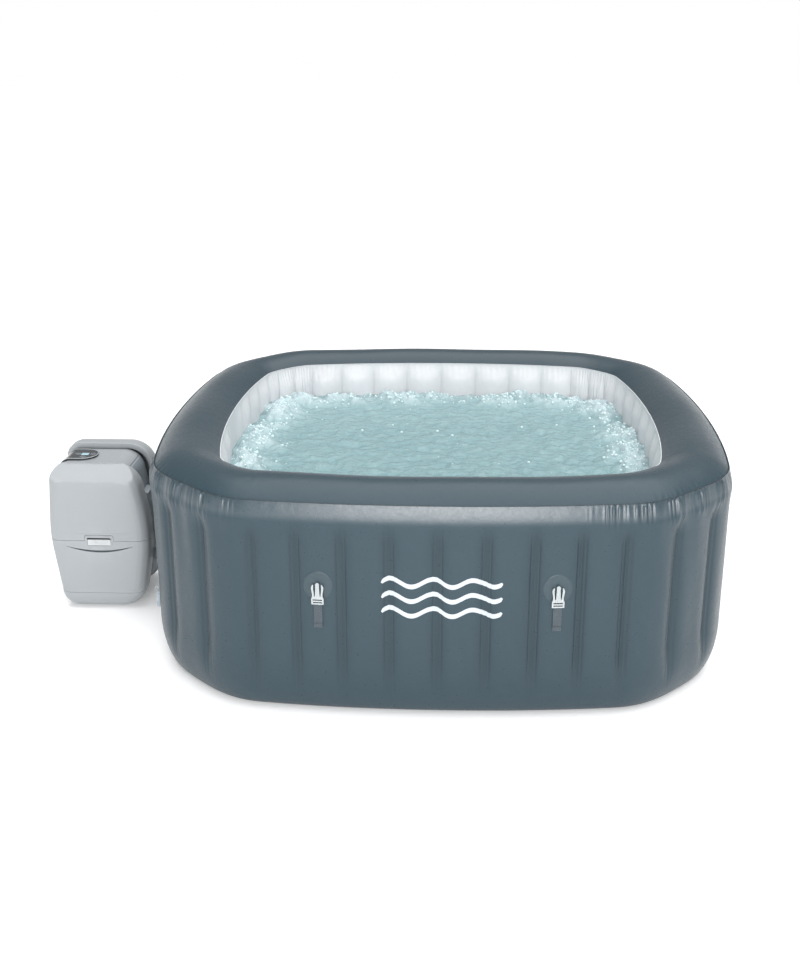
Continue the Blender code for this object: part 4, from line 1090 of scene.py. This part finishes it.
def filter_set():
    """The debris screen and the filter's ribbed housing with its pleated cartridge."""
    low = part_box("outlet_screen")[0]
    profile = [(0.036, 0.0), (0.0355, 0.004), (0.033, 0.008), (0.028, 0.0125), (0.020, 0.0148),
               (0.010, 0.016), (0.010, 0.0135), (0.019, 0.0125), (0.026, 0.0100), (0.031, 0.006),
               (0.033, 0.002), (0.033, 0.0), (0.036, 0.0)]
    turned_for("outlet_screen", profile, middle_of("outlet_screen", x=low.x), (1, 0, 0), "filter_white",
               144, 18, 0.0016, (1, 2, 3, 4))
    low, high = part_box("filter_housing")
    length = high.x - low.x
    profile = [(0.0150, 0.0), (0.056, 0.0), (0.058, 0.002)]
    profile += [(0.058 - 0.0012 * (i % 2), 0.006 + (length - 0.010) * i / 14) for i in range(15)]
    profile += [(0.0575, length - 0.001), (0.0565, length), (0.0555, length), (0.055, length - 0.001),
                (0.055, 0.003), (0.0160, 0.003), (0.0150, 0.0)]
    turned_for("filter_housing", profile, middle_of("filter_housing", x=low.x), (1, 0, 0), "filter_white", 96,
               finish="fitting_grey")
    low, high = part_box("filter_cartridge")
    length = high.x - low.x
    profile = [(0.020, 0.0), (0.052, 0.0), (0.0545, 0.002), (0.0545, 0.006), (0.0540, 0.008),
               (0.0540, length - 0.008), (0.0545, length - 0.006), (0.0545, length - 0.002), (0.052, length),
               (0.020, length), (0.020, 0.0)]
    turned_for("filter_cartridge", profile, middle_of("filter_cartridge", x=low.x), (1, 0, 0),
               "filter_white", 360, 60, 0.007, (4, 5))


# ---------------------------------------------------------------- pump unit

SHELL_LOW, SHELL_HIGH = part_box("pump_front_shell")
REAR_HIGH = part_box("pump_rear_shell")[1]
SPINE_LOW, SPINE_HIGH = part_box("pump_spine")
PUMP_OUTER_X = -1.315
PUMP_TUB_X = -0.965
PUMP_FOOT = SHELL_LOW.z
PUMP_TOP = REAR_HIGH.z
PUMP_Y = (SHELL_LOW.y + REAR_HIGH.y) / 2
PUMP_MIDDLE_X = (PUMP_OUTER_X + PUMP_TUB_X) / 2
HALF_DEPTH = PUMP_Y - SHELL_LOW.y
BAND_HALF = PUMP_Y - SHELL_HIGH.y
FRONT_DROP = REAR_HIGH.z - SHELL_HIGH.z
OUTER_BARREL = 0.018
FOOT_BARREL = 0.034
TUB_BARREL = 0.045
SHELL = 0.0025
BAND_RECESS = 0.0205
PORT_RECESS = 0.012
LIP = 0.019
FACE_Y = SHELL_LOW.y
BEVEL_Z = 0.455
BEVEL_SLOPE = 1.87
HATCH_LOW, HATCH_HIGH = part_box("pump_hatch")
LATCH_LOW, LATCH_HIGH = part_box("hatch_latch")
HINGE_Y = FACE_Y - 0.001
HINGE_Z = HATCH_LOW.z - 0.0005
HATCH_HEIGHT = 0.190
WINDOW_LOW = LATCH_LOW.z
WINDOW_HALF = (LATCH_HIGH.x - LATCH_LOW.x) / 2 + 0.0005
PANEL_LIFT = 0.0060
PANEL_THICKNESS = 0.0052


def pump_outline(inset=0.0, tub_side_in=0.0, top_drop=0.0, arc_steps=14, side_steps=16):
    """The pump's front view as (x, z) points, anticlockwise seen from the front."""
    tub_side = PUMP_TUB_X - tub_side_in
    middle = (PUMP_FOOT + PUMP_TOP) / 2
    top = PUMP_TOP - top_drop
    corners = [
        (PUMP_OUTER_X + FOOT_BARREL, PUMP_FOOT, 0.055), (tub_side - TUB_BARREL, PUMP_FOOT, 0.085),
        (tub_side, middle, 0.60), (tub_side - TUB_BARREL, top, 0.090),
        (PUMP_OUTER_X + OUTER_BARREL, top, 0.050), (PUMP_OUTER_X, middle, 0.60),
    ]
    outline = []
    for i, (x, z, radius) in enumerate(corners):
        here = Vector((x, z))
        before = (Vector(corners[i - 1][:2]) - here).normalized()
        after = (Vector(corners[(i + 1) % 6][:2]) - here).normalized()
        half_angle = before.angle(after) / 2
        centre = here + (before + after).normalized() * radius / math.sin(half_angle)
        turn = math.pi - 2 * half_angle
        start = (here + before * radius / math.tan(half_angle) - centre).normalized()
        steps = arc_steps if turn > math.radians(45) else side_steps
        for step in range(steps + 1):
            angle = turn * step / steps
            spoke = Vector((start.x * math.cos(angle) - start.y * math.sin(angle),
                            start.x * math.sin(angle) + start.y * math.cos(angle)))
            outline.append(centre + spoke * (radius - inset))
    return resample(np.array(outline), 220)


def resample(points, count):
    """The closed outline again with evenly spaced points."""
    loop = np.vstack([points, points[:1]])
    along = np.concatenate([[0], np.cumsum(np.hypot(*np.diff(loop, axis=0).T))])
    at = np.linspace(0, along[-1], count, endpoint=False)
    return np.stack([np.interp(at, along, loop[:, k]) for k in range(2)], axis=1)


def curve_through(points, steps):
    """Catmull-Rom points through a section."""
    points = [np.array(p, float) for p in points]
    padded = [2 * points[0] - points[1]] + points + [2 * points[-1] - points[-2]]
    made = []
    for a, b, c, d in zip(padded, padded[1:], padded[2:], padded[3:]):
        for step in range(steps):
            t = step / steps
            made.append(0.5 * (2 * b + (c - a) * t + (2 * a - 5 * b + 4 * c - d) * t * t
                               + (3 * b - a - 3 * c + d) * t ** 3))
    return made + [points[-1]]


def half_casing(name, direction, top_drop):
    """One moulded half: lip, side wall, rounded edge and flat face. The front's top slopes back."""
    section = [(0.0030, BAND_HALF), (0.0014, BAND_HALF + 0.0005), (0.0004, BAND_HALF + 0.0015),
               (0.0, BAND_HALF + 0.0032), (0.0, BAND_HALF + 0.012), (0.0, HALF_DEPTH - 0.052)]
    section += [tuple(p) for p in curve_through(
        [(0.0, HALF_DEPTH - 0.044), (0.0042, HALF_DEPTH - 0.0215), (0.0170, HALF_DEPTH - 0.0072),
         (0.0330, HALF_DEPTH - 0.0012), (0.0440, HALF_DEPTH)], 7)]
    outlines = [(pump_outline(LIP), BAND_HALF), (pump_outline(0.011, top_drop=top_drop * 0.5), BAND_HALF)]
    outlines += [(pump_outline(inset, top_drop=top_drop), out) for inset, out in section]
    rows = [np.stack([line[:, 0], np.full(len(line), PUMP_Y + direction * out), line[:, 1]], axis=1)
            for line, out in outlines]
    edge = rows[-1]
    centre = edge.mean(axis=0)
    rows += [centre + (edge - centre) * share for share in (0.96, 0.90, 0.80, 0.66, 0.45, 0.22, 0.004)]
    points = np.array(rows)
    if direction < 0:
        y = points[..., 1]
        z = points[..., 2]
        slope = FACE_Y + np.clip(z - BEVEL_Z, 0, 1) * BEVEL_SLOPE
        slope = np.minimum(slope, SHELL_HIGH.y - 0.003)
        soft = 0.0016
        back = slope + soft * np.logaddexp(0, (y - slope) / soft)
        share = smooth_step(BEVEL_Z - 0.014, BEVEL_Z + 0.004, z)
        points[..., 1] = np.maximum(y + (back - y) * share, FACE_Y)
    return grid(name, points, FINISHES["casing_grey"], flip=direction > 0, sharp=50)


def hatch_zone(grow):
    """The space of the hatch: under an arc about its hinge, plus its latch tongue."""
    back = HATCH_HIGH.y + 0.0005 + grow
    low = HINGE_Z - grow
    radius = HATCH_HEIGHT + grow
    end = math.asin((back - HINGE_Y) / radius)
    arc = [(HINGE_Y + radius * math.sin(end * (1 - i / 24)), HINGE_Z + radius * math.cos(end * (1 - i / 24)))
           for i in range(25)]
    outline = [(back, low)] + arc + [(FACE_Y - 0.03, HINGE_Z + radius), (FACE_Y - 0.03, low)]
    zone = prism("zone", outline, PUMP_MIDDLE_X - 0.20, PUMP_MIDDLE_X + 0.20, lambda y, z, x: (x, y, z))
    shape = rounded(oblong(0.049 + grow, HINGE_Z + 0.10, HATCH_HIGH.z + 0.0005 + grow), 0.010, 6)
    tongue = prism("tongue", [(PUMP_MIDDLE_X + p[0], p[1]) for p in shape], FACE_Y - 0.02,
                   FACE_Y + SHELL + 0.004)
    return cut(zone, [tongue], "UNION")


def crescent(width, drop, height, top, steps=24):
    """Two arcs through the same ends, one hanging lower than the other."""
    shares = [-1 + 2 * i / steps for i in range(steps + 1)]
    lower, upper = ([(PUMP_MIDDLE_X + width / 2 * t, top - hang * (1 - t * t)) for t in shares]
                    for hang in (drop + height, drop))
    return lower + upper[-2:0:-1]


def pump_shells():
    front = settle(thicken(half_casing("pump_front_skin", -1, FRONT_DROP), SHELL))
    hatch = front.copy()
    hatch.data = front.data.copy()
    hatch.name = "pump_hatch_skin"
    bpy.context.scene.collection.objects.link(hatch)
    cut(front, [hatch_zone(0.0006)])
    cut(hatch, [hatch_zone(-0.0006)], "INTERSECT")
    edge = oblong(WINDOW_HALF, WINDOW_LOW - 0.0005, WINDOW_LOW + 0.0275, PUMP_MIDDLE_X)
    window = prism("window", rounded(edge, 0.004, 4), FACE_Y - 0.02, FACE_Y + 0.02)
    grip = prism("grip", crescent(0.236, 0.016, 0.0075, WINDOW_LOW - 0.002), FACE_Y - 0.02, FACE_Y + 0.02)
    cut(hatch, [window, grip])
    for obj in (front, hatch):
        obj.data.shade_smooth()
        obj.data.set_sharp_from_angle(angle=math.radians(38))
    stand_for(front, "pump_front_shell")
    stand_for(hatch, "pump_hatch")
    rear = settle(thicken(half_casing("pump_rear_skin", 1, 0.0), SHELL))
    stand_for(rear, "pump_rear_shell")


def hatch_details():
    """The latch's bezel, the sliding latch itself and the cup behind the grip slot."""
    hatch_body = NODE_BODY["pump_hatch"]
    middle = Matrix.Translation((PUMP_MIDDLE_X, FACE_Y - 0.0002, WINDOW_LOW + 0.0135))
    edge = rounded(oblong(WINDOW_HALF + 0.0045, -0.0175, 0.0175), 0.008, 6)
    hole = rounded(oblong(WINDOW_HALF, -0.0137, 0.0137), 0.004, 4)
    bezel = plate("latch_bezel", [edge, hole], 0.0012, "casing_grey", 0.0005,
                  middle @ Matrix.Rotation(math.pi / 2, 4, "X"))
    belong(bezel, hatch_body)
    low = LATCH_LOW
    high = LATCH_HIGH
    room = Vector((0.0003, 0.0003, 0.0003))
    tab = slab("hatch_latch_skin", low + room, high - room, "latch_white", 0.0012)
    ridges = [slab("ridge", (low.x + 0.012, low.y - 0.0007, low.z + 0.0045 + 0.0042 * i),
                   (high.x - 0.012, low.y + 0.001, low.z + 0.0060 + 0.0042 * i), "latch_white", 0.0006)
              for i in range(4)]
    join_into(tab, ridges)
    stand_for(tab, "hatch_latch")
    cup = prism("grip_cup", crescent(0.244, 0.016, 0.0135, WINDOW_LOW + 0.001), FACE_Y + SHELL + 0.0003,
                FACE_Y + 0.016, finish=FINISHES["band_grey"])
    hollow = prism("hollow", crescent(0.238, 0.016, 0.0085, WINDOW_LOW - 0.0015), FACE_Y - 0.01,
                   FACE_Y + 0.0145)
    cut(cup, [hollow])
    belong(cup, hatch_body)
    brow(FACE_Y, HINGE_Z + HATCH_HEIGHT + 0.0245)
    reach = WINDOW_HALF + 0.003
    slot_back = slab("latch_slot_back", (PUMP_MIDDLE_X - reach, FACE_Y + SHELL + 0.0045, WINDOW_LOW - 0.003),
                     (PUMP_MIDDLE_X + reach, FACE_Y + SHELL + 0.0060, WINDOW_LOW + 0.0300), "panel_dark",
                     0.0005)
    belong(slot_back, hatch_body)


def brow(y, z):
    """The moulded ridge above the hatch's seam, which sags a little at its middle."""
    reach = 0.118
    rows = []
    for i in range(49):
        t = -1 + i / 24
        thick = 0.0024 * math.sqrt(max(0.0, 1 - t ** 4)) + 0.0002
        middle = z + 0.004 * t * t
        rows.append([(PUMP_MIDDLE_X + reach * t, y + 0.0004 - 0.42 * thick * math.cos(angle),
                      middle + thick * math.sin(angle)) for angle in np.linspace(-1.9, 1.9, 9)])
    belong(grid("hatch_brow", np.array(rows), FINISHES["casing_grey"], closed=False), "root")


def band():
    """The recessed band between the halves: pale on top and outside, and darker on the tub's side, where the
    darker plastic is painted shade of the recess.
    """
    outline = pump_outline(BAND_RECESS, PORT_RECESS)
    # painted shade: the stretch on the tub's side, deep in the recess, takes the darker band plastic below
    dark = (outline[:, 0] > SPINE_HIGH.x - 0.062) & (outline[:, 1] < SPINE_HIGH.z - 0.024)
    first = int(np.argmax(dark & ~np.roll(dark, 1)))
    outline = np.roll(outline, -first, axis=0)
    count = int(dark.sum())
    rim = np.linspace(SPINE_HIGH.y, SPINE_LOW.y, 25)
    side = outline[:count + 1]
    top = np.vstack([outline[count:], outline[:1]])
    for name, line, slot in (("pump_band_shaded_side_skin", side, "band_grey"),
                             ("pump_band_top_skin", top, "casing_grey")):
        rows = [np.stack([line[:, 0], np.full(len(line), y), line[:, 1]], axis=1) for y in rim]
        obj = thicken(grid(name, np.array(rows), FINISHES[slot], closed=False), SHELL)
        stand_for(obj, "pump_spine")


BUTTONS = ("power_button", "bubble_button", "heat_button")


def panel():
    """The dark panel that folds from the band's top over its outer corner."""
    low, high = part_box("control_panel")
    outline = pump_outline(BAND_RECESS - 0.0005, PORT_RECESS)
    top_z = outline[:, 1].max()
    on_top = outline[(outline[:, 1] > top_z - 0.020) & (outline[:, 0] < high.x)]
    path = np.vstack([on_top[np.argsort(on_top[:, 0])], [high.x, top_z]])
    along = np.concatenate([[0], np.cumsum(np.hypot(*np.diff(path, axis=0).T))])
    total = along[-1]
    half = (high.y - low.y) / 2
    middle_y = (low.y + high.y) / 2
    at = np.linspace(0, total, 70)
    line = np.stack([np.interp(at, along, path[:, k]) for k in range(2)], axis=1)
    ahead = np.gradient(line, axis=0)
    ahead /= np.linalg.norm(ahead, axis=1, keepdims=True)
    normal = np.stack([-ahead[:, 1], ahead[:, 0]], axis=1)
    rounding = np.clip(total - at, 0, half)
    width = np.where(total - at < half, np.sqrt(np.clip(half ** 2 - (half - rounding) ** 2, 0, None)), half)
    rows = []
    for share in (-1, -0.985, -0.9, -0.6, -0.3, 0, 0.3, 0.6, 0.9, 0.985, 1):
        lift = PANEL_LIFT - (0.0 if abs(share) < 0.99 else 0.0010)
        y = middle_y + share * np.maximum(width, 0.0004)
        rows.append(np.stack([line[:, 0] + normal[:, 0] * lift, y, line[:, 1] + normal[:, 1] * lift], axis=1))
    obj = grid("control_panel_skin", np.array(rows), FINISHES["panel_dark"], closed=False)
    thicken(obj, PANEL_THICKNESS)
    cutters = []
    for name in BUTTONS:
        foot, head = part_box(name)
        radius = (head.x - foot.x) / 2 + 0.0003
        profile = [(0.0, 0.030), (radius, 0.030), (radius, 0.0), (0.0, 0.0)]
        middle = middle_of(name, z=foot.z - 0.010)
        cutters.append(turned("cutter", profile, middle, UP, FINISHES["panel_dark"], 64))
    cut(obj, cutters)
    stand_for(obj, "control_panel")
    trim(line, normal, width, middle_y)
    screen_and_buttons()


def trim(line, normal, width, middle_y):
    """The pale edge line round the panel."""
    lifted = line + normal * (PANEL_LIFT + 0.0004)
    front = [(p[0], middle_y - w, p[1]) for p, w in zip(lifted, width)]
    back = [(p[0], middle_y + w, p[1]) for p, w in zip(lifted, width)]
    mesh = curve_mesh([front[:-1] + back[::-1][1:]], bevel_depth=0.0016, bevel_resolution=3)
    belong(link("panel_trim", mesh, FINISHES["casing_grey"]), "root")


def screen_and_buttons():
    low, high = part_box("display_window")
    glass = slab("display_window_skin", low, (high.x, high.y, high.z + 0.0009), "window_glass", 0.0006)
    stand_for(glass, "display_window")
    for name in BUTTONS:
        low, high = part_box(name)
        radius = (high.x - low.x) / 2
        height = high.z - low.z
        profile = [(0.0, height - 0.0008), (radius * 0.5, height - 0.0006), (radius * 0.8, height - 0.0002),
                   (radius - 0.0010, height), (radius - 0.0003, height - 0.0004), (radius, height - 0.0012),
                   (radius, 0.0), (0.0, 0.0)]
        turned_for(name, profile, middle_of(name, z=low.z + 0.0004), UP, "button_grey", 64)
        ring = [(radius + out, up) for out, up in ((0.0014, 0.0), (0.0014, 0.0007), (0.0010, 0.0010),
                                                   (0.0005, 0.0007), (0.0005, 0.0), (0.0014, 0.0))]
        origin = middle_of(name, z=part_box("control_panel")[1].z - 0.0001)
        belong(turned(name + "_ring", ring, origin, UP, FINISHES["casing_grey"], 64), "root")


def ports_and_foot():
    """The plate with its three spigots, the base and the cable gland."""
    low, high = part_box("port_plate")
    middle = (PUMP_FOOT + PUMP_TOP) / 2
    slope = TUB_BARREL / (PUMP_TOP - middle)
    back = PUMP_TUB_X - PORT_RECESS - BAND_RECESS * math.hypot(1, slope) + 0.0005
    front = back + 0.004
    outline = [(back - slope * (middle - low.z), low.z), (front, low.z), (front, high.z),
               (back - slope * (high.z - middle), high.z), (back, middle)]
    port_plate = prism("port_plate_skin", outline, low.y, high.y, finish=FINISHES["band_grey"])
    settle(round_edges(port_plate, 0.0012))
    length = high.x - front + 0.002
    profile = [(0.0160, length), (0.0235, length), (0.0240, length - 0.0006), (0.0240, length - 0.0055),
               (0.0235, length - 0.006), (0.0200, length - 0.0062), (0.0200, 0.004), (0.0215, 0.0015),
               (0.0240, 0.0), (0.0160, 0.0), (0.0160, length)]
    join_into(port_plate, [turned("spigot", profile, middle_of(fitting, x=front - 0.002), (1, 0, 0),
                                  FINISHES["band_grey"]) for fitting in FITTINGS])
    stand_for(port_plate, "port_plate")
    stand_for(slab("pump_base_skin", *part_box("pump_base"), "band_grey", 0.004), "pump_base")
    low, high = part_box("cable_gland")
    length = high.y - low.y
    profile = [(0.0045, length), (0.0070, length), (0.0075, length - 0.0006)]
    for i in range(8):
        z = length - 0.002 - (length - 0.016) * i / 7
        profile += [(0.0076 + 0.0003 * i, z), (0.0068 + 0.0003 * i, z - 0.0008)]
    profile += [(0.0100, 0.0125), (0.0150, 0.0122), (0.0160, 0.0112), (0.0160, 0.0), (0.0045, 0.0),
                (0.0045, length)]
    turned_for("cable_gland", profile, middle_of("cable_gland", y=low.y), (0, 1, 0), "panel_dark")


def carried_nodes():
    """The machinery inside the casing keeps its CAD shape and gets the same quality of finish."""
    by_slot = {
        "machine_grey": ("pump_motor", "air_blower"),
        "band_grey": ("pump_volute", "pump_impeller", "blower_fan"),
        "steel": ("heater_tube",),
        "board_green": ("circuit_board",),
    }
    for slot, names in by_slot.items():
        for name in names:
            obj = frame["nodes"][name]
            obj.data.materials.clear()
            obj.data.materials.append(FINISHES[slot])


# ---------------------------------------------------------------- studio

CAMERA_PLACE = (0.0119, -3.947, 1.776)
CAMERA_TURN = (-0.0374, 0.3396, -0.0015)
CAMERA_LENS = 44.85

def surround():
    """A plain surround: white at the horizon and greyer overhead."""
    world = bpy.data.worlds.new("studio")
    bpy.context.scene.world = world
    world.use_nodes = True
    nodes = world.node_tree.nodes
    join = world.node_tree.links.new
    split = nodes.new("ShaderNodeSeparateXYZ")
    join(nodes.new("ShaderNodeTexCoord").outputs["Generated"], split.inputs[0])
    ramp = nodes.new("ShaderNodeMapRange")
    ramp.interpolation_type = "SMOOTHSTEP"
    feed(ramp, From_Min=0.03, From_Max=0.22, To_Min=1.0, To_Max=0.38)
    join(split.outputs["Z"], ramp.inputs["Value"])
    feed(nodes["Background"], Color=(1.0, 1.0, 1.0, 1))
    join(ramp.outputs["Result"], nodes["Background"].inputs["Strength"])


def light(name, kind, **settings):
    made = bpy.data.objects.new(name, bpy.data.lights.new(name, kind))
    for key, value in settings.items():
        setattr(made.data, key, value)
    bpy.context.scene.collection.objects.link(made)
    return made


def studio():
    """A pale floor, a pale surround and two soft lights: one overhead, one low in front."""
    bpy.ops.mesh.primitive_plane_add(size=160, location=(0, 0, -0.0005))
    floor = bpy.context.object
    floor.name = "studio_floor"
    f = Finish("studio_floor", (0.93, 0.93, 0.93), 0.65, 0.2)
    f.mottle(f.noise(0.8, 3.0), 0.3, (0.95, 0.95, 0.95))
    feed(f.shader, Emission_Color=(1.0, 1.0, 1.0, 1), Emission_Strength=0.16)
    floor.data.materials.append(f.done())
    surround()
    overhead = light("overhead", "SUN", energy=3.1, angle=math.radians(75))
    overhead.rotation_euler = (math.radians(-8), math.radians(8), 0)
    softbox = light("softbox", "AREA", shape="RECTANGLE", size=3.6, size_y=2.9, energy=250)
    softbox.location = (0.2, -5.60, 2.35)
    aim = Vector((0.05, -0.9, 0.62)) - softbox.location
    softbox.rotation_euler = aim.to_track_quat("-Z", "Y").to_euler()
    bpy.context.scene.view_settings.view_transform = "Standard"


def camera():
    yaw, pitch, roll = CAMERA_TURN
    ahead = Vector((math.sin(yaw) * math.cos(pitch), math.cos(yaw) * math.cos(pitch), -math.sin(pitch)))
    right = Vector((math.cos(yaw), -math.sin(yaw), 0))
    above = right.cross(ahead)
    turn = Matrix((right, above, -ahead)).transposed().to_4x4() @ Matrix.Rotation(roll, 4, "Z")
    made = bpy.data.objects.new("camera", bpy.data.cameras.new("camera"))
    made.data.lens = CAMERA_LENS
    made.data.sensor_width = 36
    made.data.clip_end = 400
    made.matrix_world = Matrix.Translation(CAMERA_PLACE) @ turn
    bpy.context.scene.collection.objects.link(made)
    bpy.context.scene.camera = made


outer_wall()
top_rim()
inner_liner()
# the outer seam bead's darker tint is partly painted shade of the seam's groove
seam_bead("outer_seam", TUB_HALF - SEAM_INSET + 0.0006, SEAM_Z + 0.0004, 0.0016, SEAM_WELD_AND_SHADE)
seam_bead("inner_seam", OPENING_HALF - 0.0004, INNER_SEAM_Z - 0.0012, 0.0014, FINISHES["vinyl_white"])
wall_webs()
floor_and_channel()
water()
straps_and_marks()
drain_base, drain_out = valve("drain_valve_body", "drain_cap", 3.5, 0.031, 0.027, 0.0129, 24)
tether(drain_base, drain_out)
valve("air_valve_body", "air_valve_cap", -3.5, 0.030, 0.0265, 0.0080, 20)
through_fittings()
filter_set()
pump_shells()
hatch_details()
band()
panel()
ports_and_foot()
carried_nodes()
studio()
camera()
